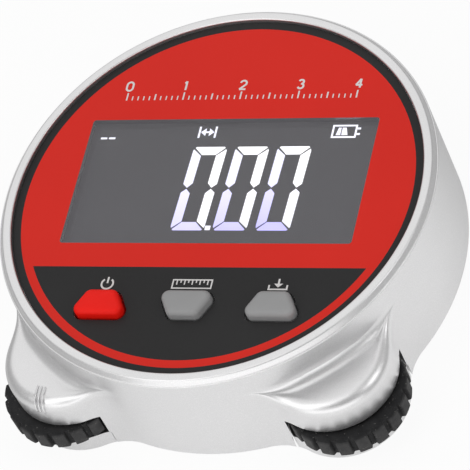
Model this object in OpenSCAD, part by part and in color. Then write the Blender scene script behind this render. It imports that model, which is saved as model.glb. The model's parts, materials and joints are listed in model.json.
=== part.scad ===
// Round handheld rolling distance gauge. A drum case has a display and three keys on its face,
// two rubber wheels at its lower edge and a battery bay in its back.
// Lengths are in millimetres. The back lies on z = 0, the face looks up and the wheels are towards -Y.

/* [Case] */
// Radius of the drum wall
case_r = 36.65; // [36:0.05:40]
// Thickness of the drum wall
wall_t = 2; // [1.6:0.1:2.4]
// Thickness of the deck under the face label
deck_t = 2; // [1.6:0.1:2.2]
// Distance from the drum wall to the recess that holds the face label
rim_in = 2.22; // [2:0.02:2.6]
// Width of the rim's flat top
rim_w = 1.42; // [1:0.02:1.6]
// Height of the rim above the face label
rim_rise = 0.9; // [0.5:0.1:1.4]
// Width of the ledge under the rim's outer slope
ledge_w = 0.25; // [0.1:0.05:0.4]
// Softening of the rim's inner edge and of the foot's outer edge
edge_c = 0.25; // [0.1:0.05:0.4]
// Thickness of the face label
label_t = 0.4; // [0.2:0.1:0.6]
// Gap round the label and the window in their recesses
inlay_gap = 0.05; // [0.02:0.01:0.1]
// Width of the dark ring round the red disc on the face
ring_w = 1.43; // [1:0.01:2]
// Width of the red band round the dark panel behind the keys
band_w = 1.4; // [1:0.1:2]
// Distance of the panel's straight edge below the drum axis on the face
panel_y = 14.25; // [13.5:0.05:15]

/* [Wheel lobes] */
// Angle of each wheel from straight down, seen on the face
wheel_a = 40; // [36:0.5:44]
// How far a lobe's wall stands outside the hidden part of the tyre
lobe_over = 0.45; // [0.3:0.05:0.8]
// Thickness of a lobe's wall
lobe_wall = 1.8; // [1.4:0.1:2.2]
// Thickness of a lobe's roof
lobe_roof = 1.8; // [1.4:0.1:2.4]
// Radius of the rounded edge of a lobe's shoulder
lobe_edge_r = 2; // [1:0.1:2.2]
// Radius of the hollow corner between a shoulder and the drum
lobe_fillet_r = 1.5; // [0.8:0.1:2]
// Radius of the hollow blend between a lobe's wall and the drum, seen from above
blend_r = 9; // [5:0.5:12]
// Spacing of the index ribs on the left shoulder
index_pitch = 0.66; // [0.6:0.02:0.8]
// Width of an index rib
index_w = 0.28; // [0.2:0.02:0.4]
// Height of an index rib above the shoulder
index_rise = 0.28; // [0.16:0.02:0.4]

/* [Wheels] */
// How far the axles stand outside the drum wall
axle_out = 0.5; // [0:0.1:1]
// Outer radius of a tyre
tyre_r = 10.05; // [9.5:0.05:10.6]
// Width of a tyre
tyre_w = 3.6; // [3:0.1:4]
// How far a tyre stands out of its lobe
tyre_out = 2.5; // [2:0.1:3]
// Gap above and below a tyre in its slot
tyre_gap = 0.63; // [0.4:0.01:0.7]
// Gap round a tyre in its slot
slot_gap = 0.5; // [0.4:0.05:0.6]
// Blocks in the tread
tread_n = 20; // [16:1:24]
// Depth of the grooves between blocks
tread_depth = 0.7; // [0.5:0.05:0.9]
// Width of the grooves between blocks
tread_groove = 0.95; // [0.7:0.05:1.2]
// Cut on the edges of the tread
tread_edge = 0.25; // [0.15:0.05:0.4]
// Radius where a tyre sits on its hub
hub_r = 7; // [6.6:0.1:7.4]
// Depth of the groove that keeps a tyre on its hub
hub_groove = 0.5; // [0.3:0.1:0.8]
// Thickness of a hub's web
hub_web_t = 1.4; // [1:0.1:2]
// Radius of the holes in a hub's web
hub_hole_r = 1.1; // [0.8:0.1:1.2]
// Radius of a hub's sleeve
sleeve_r = 2.2; // [1.8:0.1:2.4]
// Radius of an axle
axle_r = 1; // [0.8:0.05:1.2]
// Running gap round an axle
axle_fit = 0.05; // [0.02:0.01:0.08]
// End play between a hub and its bosses
axle_play = 0.1; // [0.05:0.01:0.2]
// Length of the upper axle bearing
bearing_l = 1.4; // [1:0.1:1.8]
// Radius of the axle bosses
boss_r = 2.4; // [2.2:0.1:2.6]

/* [Encoder] */
// Radius of the encoder disc
encoder_r = 5.2; // [4.8:0.1:5.3]
// Thickness of the encoder disc
encoder_t = 0.5; // [0.3:0.1:0.7]
// Windows in the encoder disc
encoder_n = 24; // [16:2:30]
// Gap between the tyre and the photo interrupter
sensor_gap = 0.5; // [0.4:0.1:0.7]
// Thickness of the photo interrupter's lower arm
sensor_arm = 1.3; // [1:0.1:1.5]
// Gap on each side of the disc in the photo interrupter
sensor_slot = 0.8; // [0.5:0.1:1]
// Length of the photo interrupter
sensor_l = 5; // [4.5:0.1:5.2]
// Width of the photo interrupter
sensor_w = 4.4; // [4:0.1:5]
// How far the disc reaches into the photo interrupter
sensor_grip = 1.85; // [1.5:0.05:2]
// Gap beyond the disc's edge in the photo interrupter
sensor_end = 0.75; // [0.5:0.05:1]

/* [Back cover] */
// Thickness of the cover plate
cover_t = 2; // [1.8:0.1:2.4]
// Gap between the cover and the housing
cover_gap = 0.1; // [0.05:0.01:0.2]
// Height of the tabs that close the wheel slots
tab_h = 3.15; // [3:0.05:3.4]
// How far the tabs are set in from the case wall
tab_in = 0.2; // [0.1:0.05:0.3]
// Height of the pads under the screw bosses
pad_h = 3; // [2.8:0.1:3.4]
// Distance from the drum wall to the case screws
screw_in = 5.25; // [5:0.05:5.6]
// Angle of the upper case screws from straight up
screw_top_a = 24; // [20:1:28]
// Angle of the lower case screws from straight down
screw_low_a = 14; // [10:1:15]
// Radius of the screw bosses
screw_boss_r = 2.6; // [2.2:0.1:2.8]
// Radius of a case screw's shank
screw_r = 1; // [0.8:0.1:1.1]
// Length of a case screw's shank
screw_l = 8; // [6:0.5:9]
// Gap round a screw boss in the main board
screw_boss_gap = 0.4; // [0.3:0.05:0.5]
// Gap round a screw's shank in the piece it holds
shank_gap = 0.15; // [0.1:0.05:0.3]
// Gap round a case screw's head in its pocket
head_gap = 0.2; // [0.1:0.05:0.3]
// Bite of a screw's thread into its boss
screw_bite = 0.12; // [0.05:0.01:0.2]
// Radius of a case screw's head
head_r = 1.9; // [1.7:0.1:2]
// Height of a screw head
head_h = 1.1; // [0.9:0.1:1.2]
// Depth of the pocket that hides a screw head
head_pocket = 1.4; // [1.3:0.1:1.6]

/* [Battery bay] */
// Radius of a cell
cell_r = 5.25; // [5:0.05:5.3]
// Length of a cell with its pip
cell_l = 44.5; // [43.5:0.1:45]
// Distance between the axes of the cells
cell_pitch = 11.1; // [10.8:0.1:11.6]
// Radius of a cell's pip
pip_r = 1.9; // [1.6:0.1:2]
// Height of a cell's pip
pip_h = 0.9; // [0.8:0.1:1.2]
// Length of a contact spring as fitted
spring_l = 3.9; // [3:0.1:4.5]
// Radius of a contact spring's wire
wire_r = 0.32; // [0.2:0.02:0.4]
// Thickness of the contact plates
contact_t = 0.4; // [0.3:0.05:0.5]
// Height of the bay's middle above the drum axis on the face
bay_y = 4; // [3:0.5:5]
// Thickness of the bay's walls
bay_wall = 1.2; // [1:0.1:1.4]
// Thickness of the bay's roof
bay_roof = 0.8; // [0.6:0.1:1]
// Gap between a cell and the walls beside it
cell_gap = 0.3; // [0.2:0.05:0.5]
// Thickness of the battery door
door_t = 1.4; // [1.2:0.1:1.6]
// Gap round the battery door
door_gap = 0.2; // [0.15:0.01:0.3]
// Width of the ledges the door closes on
door_ledge = 0.6; // [0.4:0.1:0.8]
// Distance of the door's hooks from the middle
hook_x = 14; // [10:0.5:16]
// Width of a door hook
hook_w = 5; // [4:0.5:6]
// Reach of a door hook past the door's edge
hook_l = 2.8; // [2.4:0.1:3]
// Thickness of a door hook
hook_t = 1; // [0.8:0.1:1.1]
// Width of the door's latch tongue
latch_w = 9; // [7:0.5:11]
// Length of the door's latch tongue
latch_l = 6; // [5:0.5:7]
// Height of the rib on the latch tongue
latch_rib = 0.7; // [0.5:0.1:0.8]
// Depth of the finger scoop on the latch tongue
scoop_d = 0.6; // [0.4:0.1:0.8]

/* [Display] */
// Width of the display window
window_w = 49.54; // [47:0.1:50]
// Height of the display window on the face
window_h = 24.32; // [23:0.1:25]
// Height of the window's middle above the drum axis on the face
window_y = 2.52; // [2:0.1:3]
// Thickness of the display window
window_t = 1.2; // [1:0.1:1.4]
// Radius of the window's corners
window_corner = 0.5; // [0.3:0.1:0.8]
// Width of the ledge that carries the window
window_ledge = 0.6; // [0.4:0.05:0.8]
// Gap between the window and the display glass
window_gap = 0.1; // [0.05:0.05:0.2]
// Gap round the display glass
glass_gap = 0.2; // [0.1:0.05:0.3]
// Thickness of the display glass
glass_t = 2; // [1.6:0.1:2.2]
// Thickness of the polariser
film_t = 0.2; // [0.1:0.05:0.3]
// Thickness of the light guide
guide_t = 1.8; // [1.5:0.1:2]
// Width of the connector strips
strip_w = 1.4; // [1:0.1:1.6]
// Width of the display frame's bars
frame_w = 2.1; // [1.6:0.1:2.4]
// Length of a backlight lamp
lamp_l = 3; // [2:0.2:4]

/* [Board] */
// Thickness of the main board
board_t = 1.2; // [1:0.1:1.6]
// Gap between the battery bay and the main board
board_gap = 0.3; // [0.2:0.05:0.5]
// Gap between the main board and the drum wall
board_edge = 1.5; // [1.2:0.1:1.8]
// Distance from the drum's inner wall to the board screws
post_in = 4.65; // [4.4:0.05:5]
// Angle of the lower board screws from straight down
post_a = 55; // [52:1:58]
// Radius of the board posts
post_r = 2; // [1.6:0.1:2.2]
// Radius of a board screw's shank
post_screw_r = 0.8; // [0.6:0.05:0.9]
// Length of a board screw's shank
post_screw_l = 3.6; // [3:0.1:3.8]
// Side of the controller chip
chip_side = 7; // [5:0.5:8]
// Height of the controller chip
chip_h = 1.1; // [0.8:0.1:1.3]
// Leads on each side of the controller chip
chip_n = 8; // [6:1:10]

/* [Keys] */
// Distance from the panel's edge to the outer corners of the key row
key_margin = 1.16; // [0.9:0.01:1.6]
// Height of the keys above the panel's lowest point on the face
key_low = 9.95; // [9.6:0.05:10.3]
// Height of a key on the face
key_h = 4.7; // [4.4:0.1:5.2]
// Width of a key's long edge
key_wide = 9.9; // [9.4:0.1:10.4]
// Width of a key's short edge
key_short = 4.9; // [4.5:0.1:6]
// Radius of a key's corners
key_corner = 1.25; // [1:0.05:1.4]
// Radius of the rounded edge on a key's top
key_edge_r = 0.8; // [0.5:0.05:0.9]
// Height of a key above the face label
key_rise = 1.7; // [1.4:0.1:2]
// Gap round a key
key_gap = 0.35; // [0.25:0.01:0.4]
// Width of the flange that keeps a key in
flange_w = 0.8; // [0.6:0.1:1]
// Thickness of a key's flange
flange_t = 0.6; // [0.5:0.1:0.7]
// Length of the stub under a key
stub_l = 0.4; // [0.3:0.1:0.5]
// Travel of a key
key_travel = 0.5; // [0.3:0.1:0.6]
// Side of a key switch
switch_side = 5.2; // [4.5:0.1:6]
// Height of a key switch's body
switch_h = 1.1; // [0.9:0.1:1.2]
// Radius of a key switch's plunger
plunger_r = 1.3; // [1:0.1:1.6]

/* [Hidden] */
$fn = 96;
overlap = 0.5;
cell_z = door_t + cell_gap + cell_r;
bay_top = cell_z + cell_r;
board_z = bay_top + bay_roof + board_gap;
board_top = board_z + board_t;
glass_z = board_top + guide_t;
window_z = glass_z + glass_t + film_t + window_gap;
label_z = window_z + window_t;
floor_z = label_z - label_t;
deck_z = floor_z - deck_t;
case_h = label_z + rim_rise;
inner_r = case_r - wall_t;
face_r = case_r - rim_in;
print_r = face_r - ring_w;
panel_r = print_r - band_w;
cover_r = inner_r - cover_gap;
board_r = inner_r - board_edge;
screw_d = case_r - screw_in;
wheel_d = case_r + axle_out;
wheel_x = wheel_d * sin(wheel_a);
wheel_y = wheel_d * cos(wheel_a);
axis_y = (wheel_y + tyre_r - case_r) / 2;
slot_r = tyre_r + slot_gap;
lobe_r = tyre_r + lobe_over;
lobe_d = wheel_d + tyre_r - tyre_out - lobe_r;
lobe_in_r = lobe_r - lobe_wall;
tyre_z = tab_h + tyre_gap;
tyre_top = tyre_z + tyre_w;
slot_top = tyre_top + tyre_gap;
tread_r = tyre_r - tread_depth;
bead_c = 0.3;
disc_z = tyre_top + sensor_gap + sensor_arm + sensor_slot;
sleeve_z = tab_h + axle_play;
sleeve_top = disc_z + encoder_t + axle_play;
bearing_z = sleeve_top + axle_play;
roof_z = bearing_z + bearing_l;
lobe_h = roof_z + lobe_roof;
bore_r = axle_r + axle_fit;
bore_end = roof_z + lobe_roof / 3;
bore_start = cover_t / 2;
blend_c = case_r + blend_r;
blend_a = acos((blend_c * blend_c + lobe_d * lobe_d - pow(lobe_r + blend_r, 2)) / (2 * blend_c * lobe_d));
tangent_bite = 0.01;
bay_l = cell_l + spring_l + 2 * contact_t;
bay_w = cell_pitch + 2 * cell_r + 2 * cell_gap;
cell_shift = (bay_l - cell_l) / 2 - contact_t;
door_w = bay_l - 2 * door_gap;
door_h = bay_w - 2 * door_gap;
hinge_r = door_t / 2;
hinge_y = bay_y + door_h / 2 - hinge_r;
hook_z = door_t;
ledge_h = 1;
contact_w = 8;
tail_w = 2;
tail_gap = 0.3;
contact_z = door_t + ledge_h + tail_gap;
open_w = window_w - 2 * window_ledge;
open_h = window_h - 2 * window_ledge;
glass_w = open_w - 2 * glass_gap;
glass_h = open_h - 2 * glass_gap;
frame_gap = 0.1;
strip_y = glass_h / 2 - strip_w / 2 - frame_gap;
guide_h = glass_h - 2 * strip_w - 4 * frame_gap;
post_d = inner_r - post_in;
key_y = panel_r - key_low;
key_pitch = sqrt(panel_r * panel_r - pow(key_y + key_h / 2, 2)) - key_wide / 2 - key_margin;
key_top = label_z + key_rise;
plunger_top = deck_z - flange_t - stub_l - key_travel;
silver = [0.83, 0.83, 0.84];
charcoal = [0.2, 0.19, 0.2];
red = [0.78, 0.16, 0.13];
grey = [0.55, 0.55, 0.55];
black = [0.07, 0.07, 0.07];
steel = [0.72, 0.72, 0.72];

// Puts the drum axis where the part's box is centred on the origin
module on_frame() {
    translate([0, axis_y, 0]) children();
}

// Both wheel places, side -1 on the left and 1 on the right, with the lobe straight down
module at_lobe(side) {
    rotate([0, 0, side * wheel_a]) children();
}

module at_wheel(side) {
    translate([side * wheel_x, -wheel_y, 0]) children();
}

module at_case_screws() {
    for (side = [-1, 1]) {
        rotate([0, 0, side * screw_top_a]) translate([0, screw_d, 0]) children();
        rotate([0, 0, side * screw_low_a]) translate([0, -screw_d, 0]) children();
    }
}

module at_board_posts() {
    translate([0, post_d, 0]) children();
    for (side = [-1, 1]) {
        rotate([0, 0, side * post_a]) translate([0, -post_d, 0]) children();
    }
}

// Half widths and height of a trapezoid with every edge moved out by a gap
function grown(a, b, h, gap) =
    let (side = sqrt(h * h + (a - b) * (a - b)))
    [a + gap * (a - b + side) / h, b + gap * (b - a + side) / h, h + 2 * gap];

// Middles of the lower and upper right corner arcs of a rounded trapezoid
function corners(a, b, h, r) =
    let (side = sqrt(h * h + (a - b) * (a - b)))
    [[a + r * (b - a - side) / h, r - h / 2], [b + r * (a - b - side) / h, h / 2 - r]];

module trapezoid(a, b, h, r) {
    middle = corners(a, b, h, r);
    side = sqrt(h * h + (a - b) * (a - b));
    out = [r * h / side, r * (a - b) / side];
    low = middle[0];
    high = middle[1];
    polygon([
        [-low[0], -h / 2], [low[0], -h / 2], low + out, high + out,
        [high[0], h / 2], [-high[0], h / 2],
        [-high[0] - out[0], high[1] + out[1]], [-low[0] - out[0], low[1] + out[1]]
    ]);
    for (c = [low, high], side_x = [-1, 1]) {
        translate([side_x * c[0], c[1]]) circle(r + tangent_bite);
    }
}

// Box centred on the origin with its underside at z = 0
module slab(width, height, thick) {
    translate([-width / 2, -height / 2, 0]) cube([width, height, thick]);
}

// What a rounded corner leaves over from its square
module corner_scrap(r) {
    difference() {
        square(r);
        circle(r);
    }
}

// Material between a lobe's wall and the drum on one side, with the lobe straight down
module blend_plan(hollow_r) {
    centre = [blend_c * sin(blend_a), -blend_c * cos(blend_a)];
    difference() {
        polygon([[0, 0], [0, -lobe_d], centre]);
        translate(centre) circle(hollow_r + tangent_bite);
    }
}

// Outline of a lobe with its blends, moved in by an inset
module lobe_plan(inset) {
    translate([0, -lobe_d]) circle(lobe_r - inset);
    blend_plan(blend_r + inset);
    mirror([1, 0]) blend_plan(blend_r + inset);
}

// Outline of the whole case, moved in by an inset
module case_plan(inset) {
    circle(case_r - inset);
    for (side = [-1, 1]) {
        rotate(side * wheel_a) lobe_plan(inset);
    }
}

module drum() {
    rotate_extrude() polygon([
        [0, 0], [case_r - edge_c, 0], [case_r, edge_c], [case_r, label_z], [case_r - ledge_w, label_z],
        [face_r + rim_w, case_h], [face_r + edge_c, case_h], [face_r, case_h - edge_c],
        [face_r, floor_z], [0, floor_z]
    ]);
}

// Profile of a lobe about its own axis, grown by a rise
module lobe_profile(rise) {
    top = lobe_h + rise;
    r = lobe_r + rise;
    edge = lobe_edge_r + rise;
    difference() {
        square([r, top]);
        translate([r - edge, top - edge]) corner_scrap(edge);
    }
}

// One hollow blend with its rounded top edge
module blend() {
    centre = [blend_c * sin(blend_a), -blend_c * cos(blend_a), 0];
    difference() {
        linear_extrude(lobe_h) blend_plan(blend_r);
        translate(centre) rotate_extrude() translate([blend_r + lobe_edge_r, lobe_h - lobe_edge_r])
            mirror([1, 0]) corner_scrap(lobe_edge_r);
    }
}

module lobe() {
    translate([0, -lobe_d, 0]) rotate_extrude() lobe_profile(0);
    blend();
    mirror([1, 0, 0]) blend();
    intersection() {
        rotate_extrude() difference() {
            translate([case_r - overlap, lobe_h - overlap])
                square([lobe_fillet_r + overlap, lobe_fillet_r + overlap]);
            translate([case_r + lobe_fillet_r, lobe_h + lobe_fillet_r]) circle(lobe_fillet_r + tangent_bite);
        }
        translate([0, 0, lobe_h - overlap]) linear_extrude(lobe_fillet_r + overlap) lobe_plan(lobe_edge_r);
    }
}

// Three ribs on the left shoulder over the place where the wheel meets the paper
module index_ribs() {
    intersection() {
        at_lobe(-1) translate([0, -lobe_d, 0]) rotate_extrude() lobe_profile(index_rise);
        for (k = [-1, 0, 1]) {
            translate([-wheel_x + k * index_pitch - index_w / 2, -lobe_d * cos(wheel_a) - lobe_r - 1,
                lobe_h - 1.2 * lobe_edge_r])
                cube([index_w, 1 + 1.5 * lobe_edge_r, 2 * lobe_edge_r]);
        }
    }
}

module key_hole(flip) {
    size = grown(key_wide / 2, key_short / 2, key_h, key_gap);
    rotate(flip ? 180 : 0) trapezoid(size[0], size[1], size[2], key_corner + key_gap);
}

// Outline of the display window with a gap round it
module window_recess() {
    half = window_w / 2 + inlay_gap;
    translate([0, window_y]) trapezoid(half, half, window_h + 2 * inlay_gap, window_corner + inlay_gap);
}

module at_keys() {
    translate([-key_pitch, -key_y]) children(0);
    translate([0, -key_y]) children(1);
    translate([key_pitch, -key_y]) children(0);
}

module key_holes(height) {
    linear_extrude(height) at_keys() {
        key_hole(false);
        key_hole(true);
    }
}

module front_housing() {
    on_frame() color(silver) difference() {
        union() {
            difference() {
                union() {
                    drum();
                    at_lobe(-1) lobe();
                    at_lobe(1) lobe();
                }
                translate([0, 0, -1]) cylinder(r = inner_r, h = deck_z + 1);
                for (side = [-1, 1]) {
                    at_lobe(side) translate([0, -lobe_d, -1]) cylinder(r = lobe_in_r, h = roof_z + 1);
                    at_wheel(side) translate([0, 0, -1]) cylinder(r = slot_r, h = slot_top + 1);
                }
            }
            index_ribs();
            at_case_screws() translate([0, 0, pad_h])
                cylinder(r = screw_boss_r, h = deck_z - pad_h + overlap);
            at_board_posts() translate([0, 0, board_top])
                cylinder(r = post_r, h = deck_z - board_top + overlap);
            for (side = [-1, 1]) {
                at_wheel(side) translate([0, 0, bearing_z])
                    cylinder(r = boss_r, h = bearing_l + overlap);
            }
        }
        for (side = [-1, 1]) {
            at_wheel(side) translate([0, 0, bearing_z - 1])
                cylinder(r = bore_r, h = bore_end - bearing_z + 1);
        }
        at_case_screws() translate([0, 0, pad_h - 1])
            cylinder(r = screw_r - screw_bite, h = head_pocket + screw_l - pad_h + 2);
        at_board_posts() translate([0, 0, board_top - 1])
            cylinder(r = post_screw_r - screw_bite, h = post_screw_l - board_t + 1.2);
        translate([0, window_y, deck_z - 1]) slab(open_w, open_h, deck_t + 2);
        translate([0, 0, window_z]) linear_extrude(deck_t) window_recess();
        translate([0, 0, deck_z - 1]) key_holes(deck_t + 2);
    }
}

// Part of the case plan that the wheel slot opens, set in from the wall and less a gap
module tab_plan(side) {
    intersection() {
        case_plan(tab_in);
        translate([side * wheel_x, -wheel_y]) circle(slot_r - cover_gap);
    }
}

module cover_plate() {
    linear_extrude(cover_t) {
        circle(cover_r);
        for (side = [-1, 1]) {
            rotate(side * wheel_a) translate([0, -lobe_d]) circle(lobe_in_r - cover_gap);
            tab_plan(side);
        }
    }
}

module cover_tab(side) {
    linear_extrude(tab_h) difference() {
        tab_plan(side);
        rotate(side * wheel_a) translate([0, -lobe_d]) circle(lobe_in_r);
        circle(inner_r);
    }
}

module bay_ends() {
    for (side = [-1, 1]) {
        translate([side * bay_l / 2, bay_y, 0]) children();
    }
}

module back_cover() {
    on_frame() color(silver) difference() {
        union() {
            difference() {
                union() {
                    cover_plate();
                    cover_tab(-1);
                    cover_tab(1);
                    translate([-bay_l / 2 - bay_wall, bay_y - bay_w / 2 - bay_wall, 0])
                        cube([bay_l + 2 * bay_wall, bay_w + 2 * bay_wall, bay_top + bay_roof]);
                    at_case_screws() cylinder(r = screw_boss_r + screw_boss_gap, h = pad_h);
                    for (side = [-1, 1]) {
                        at_wheel(side) cylinder(r = boss_r, h = tab_h);
                    }
                }
                translate([-bay_l / 2, bay_y - bay_w / 2, -1]) cube([bay_l, bay_w, bay_top + 1]);
            }
            bay_ends() translate([-door_ledge, -bay_w / 2, door_t]) cube([2 * door_ledge, bay_w, ledge_h]);
        }
        at_case_screws() translate([0, 0, -1]) cylinder(r = head_r + head_gap, h = head_pocket + 1);
        at_case_screws() translate([0, 0, -1]) cylinder(r = screw_r + shank_gap, h = pad_h + 2);
        for (side = [-1, 1]) {
            at_wheel(side) translate([0, 0, bore_start]) cylinder(r = bore_r, h = tab_h);
            translate([side * hook_x, 0, 0]) hook_room();
        }
        for (side = [-1, 1]) {
            translate([-bay_l / 2 + contact_t / 2, bay_y + side * cell_pitch / 2, bay_top])
                cube([contact_t + tail_gap, tail_w + tail_gap, 4 * bay_roof], center = true);
        }
    }
}

// Space in the cover where a door hook swings
module hook_room() {
    width = hook_w + 4 * door_gap;
    translate([-width / 2, hinge_y, hook_z - door_gap])
        cube([width, hinge_r + hook_l + 4 * door_gap, hook_l + hook_t + hinge_r]);
}

module battery_door() {
    low_y = bay_y - door_h / 2;
    slit = 0.8;
    scoop_r = 9;
    on_frame() color(silver) {
        difference() {
            union() {
                translate([-door_w / 2, low_y, 0]) cube([door_w, hinge_y - low_y, door_t]);
                translate([-door_w / 2, hinge_y, hinge_r]) rotate([0, 90, 0])
                    cylinder(r = hinge_r, h = door_w);
                translate([-latch_w / 2, low_y, door_t]) cube([latch_w, slit, latch_rib]);
            }
            for (side = [-1, 1]) {
                translate([side * (latch_w / 2 + slit / 2) - slit / 2, low_y - 1, -1])
                    cube([slit, latch_l + 1, door_t + 2]);
            }
            translate([-latch_w / 3, low_y + latch_l / 2, -scoop_r + scoop_d]) rotate([0, 90, 0])
                cylinder(r = scoop_r, h = 2 * latch_w / 3);
        }
        for (side = [-1, 1]) {
            translate([side * hook_x - hook_w / 2, hinge_y - 1, hook_z])
                cube([hook_w, 1 + hinge_r + hook_l, hook_t]);
        }
    }
}

// Dark panel on the face, a circle cut straight above the keys
module panel_plan() {
    intersection() {
        circle(panel_r);
        translate([-case_r, -panel_y - 2 * case_r]) square(2 * case_r);
    }
}

module face_label() {
    on_frame() color(red) translate([0, 0, floor_z]) linear_extrude(label_t) difference() {
        circle(print_r);
        panel_plan();
        window_recess();
    }
}

module label_ring() {
    on_frame() color(charcoal) translate([0, 0, floor_z]) linear_extrude(label_t) difference() {
        circle(face_r - inlay_gap);
        circle(print_r);
    }
}

module key_panel() {
    on_frame() color(charcoal) translate([0, 0, floor_z]) difference() {
        linear_extrude(label_t) panel_plan();
        translate([0, 0, -1]) key_holes(label_t + 2);
    }
}

module display_window() {
    on_frame() color([0.36, 0.36, 0.38, 0.6]) translate([0, window_y, window_z]) linear_extrude(window_t)
        trapezoid(window_w / 2, window_w / 2, window_h, window_corner);
}

module polariser() {
    on_frame() color([0.3, 0.3, 0.32]) translate([0, window_y, glass_z + glass_t])
        slab(glass_w - 4 * frame_gap, glass_h - 4 * frame_gap, film_t);
}

module lcd_glass() {
    on_frame() color([0.4, 0.42, 0.44]) translate([0, window_y, glass_z]) slab(glass_w, glass_h, glass_t);
}

module light_guide() {
    length = glass_w - 4 * lamp_l / 3;
    on_frame() color([0.9, 0.9, 0.92]) translate([lamp_l / 3, window_y, board_top])
        slab(length, guide_h, guide_t);
}

module backlight_lamps() {
    on_frame() color([0.95, 0.95, 0.8]) for (side = [-1, 1]) {
        translate([-glass_w / 2 + lamp_l / 3, window_y + side * guide_h / 4, board_top])
            slab(lamp_l / 2, lamp_l, guide_t / 2);
    }
}

module connector_strips() {
    on_frame() color([0.85, 0.6, 0.65]) for (side = [-1, 1]) {
        translate([0, window_y + side * strip_y, board_top]) slab(glass_w - 2, strip_w, guide_t);
    }
}

module display_frame() {
    inside_w = glass_w + 2 * frame_gap;
    inside_h = glass_h + 2 * frame_gap;
    on_frame() color([0.92, 0.92, 0.9]) translate([0, window_y, board_top]) difference() {
        slab(inside_w + 2 * frame_w, inside_h + 2 * frame_w, deck_z - board_top);
        translate([0, 0, -1]) slab(inside_w, inside_h, deck_z);
    }
}

module main_board() {
    on_frame() color([0.1, 0.35, 0.2]) translate([0, 0, board_z]) difference() {
        cylinder(r = board_r, h = board_t);
        at_case_screws() translate([0, 0, -1]) cylinder(r = screw_boss_r + screw_boss_gap, h = board_t + 2);
        at_board_posts() translate([0, 0, -1]) cylinder(r = post_screw_r + shank_gap, h = board_t + 2);
        for (side = [-1, 1]) {
            translate([-bay_l / 2 + contact_t / 2, bay_y + side * cell_pitch / 2, board_t / 2])
                cube([contact_t + tail_gap, tail_w + tail_gap, 2 * board_t], center = true);
        }
    }
}

module controller_chip() {
    lead_w = 0.35;
    lead_l = 1;
    pitch = chip_side / (chip_n + 1);
    on_frame() color(black) translate([0, bay_y - bay_w / 2 - bay_wall - chip_side / 2 - 2, board_z]) {
        translate([-chip_side / 2, -chip_side / 2, -chip_h]) cube([chip_side, chip_side, chip_h]);
        for (turn = [0 : 3], k = [1 : chip_n]) {
            rotate([0, 0, 90 * turn])
                translate([chip_side / 2 - 0.2, k * pitch - chip_side / 2 - lead_w / 2, -lead_w])
                cube([lead_l, lead_w, lead_w]);
        }
    }
}

module key_switches() {
    on_frame() color([0.25, 0.25, 0.27]) for (k = [-1, 0, 1]) {
        translate([k * key_pitch, -key_y, board_top]) {
            slab(switch_side, switch_side, switch_h);
            cylinder(r = plunger_r, h = plunger_top - board_top);
        }
    }
}

// One key with its rounded cap, flange and stub, wide edge down
module key() {
    steps = 5;
    middle = corners(key_wide / 2, key_short / 2, key_h, key_corner);
    flange = grown(key_wide / 2, key_short / 2, key_h, flange_w);
    hull() for (c = middle, side = [-1, 1]) {
        translate([side * c[0], c[1], deck_z - flange_t / 2])
            cylinder(r = key_corner, h = flange_t, $fn = 32);
        for (k = [0 : steps]) {
            sink = key_edge_r * (1 - sin(90 * k / steps));
            inset = key_edge_r * (1 - cos(90 * k / steps));
            translate([side * c[0], c[1], deck_z])
                cylinder(r = key_corner - inset, h = key_top - sink - deck_z, $fn = 32);
        }
    }
    translate([0, 0, deck_z - flange_t]) linear_extrude(flange_t)
        trapezoid(flange[0], flange[1], flange[2], key_corner + flange_w);
    translate([0, 0, deck_z - flange_t - stub_l]) cylinder(r = plunger_r, h = stub_l + flange_t);
}

module power_key() {
    on_frame() color([0.9, 0.13, 0.09]) translate([-key_pitch, -key_y, 0]) key();
}

module unit_key() {
    on_frame() color(grey) translate([0, -key_y, 0]) rotate([0, 0, 180]) key();
}

module memory_key() {
    on_frame() color(grey) translate([key_pitch, -key_y, 0]) key();
}

// Block-tread tyre about its own axis
module tyre() {
    middle = tyre_z + tyre_w / 2;
    bead = tyre_w / 3;
    color(black) difference() {
        rotate_extrude() polygon([
            [hub_r, tyre_z + bead_c], [hub_r + bead_c, tyre_z], [tyre_r - tread_edge, tyre_z],
            [tyre_r, tyre_z + tread_edge], [tyre_r, tyre_top - tread_edge],
            [tyre_r - tread_edge, tyre_top], [hub_r + bead_c, tyre_top], [hub_r, tyre_top - bead_c],
            [hub_r, middle + bead / 2], [hub_r - hub_groove, middle + bead / 2],
            [hub_r - hub_groove, middle - bead / 2], [hub_r, middle - bead / 2]
        ]);
        for (k = [0 : tread_n - 1]) {
            rotate([0, 0, k * 360 / tread_n]) translate([-tread_groove / 2, tread_r, tyre_z - 1])
                cube([tread_groove, tread_depth + 1, tyre_w + 2]);
        }
    }
}

module left_tyre() {
    on_frame() at_wheel(-1) tyre();
}

module right_tyre() {
    on_frame() at_wheel(1) tyre();
}

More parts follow.
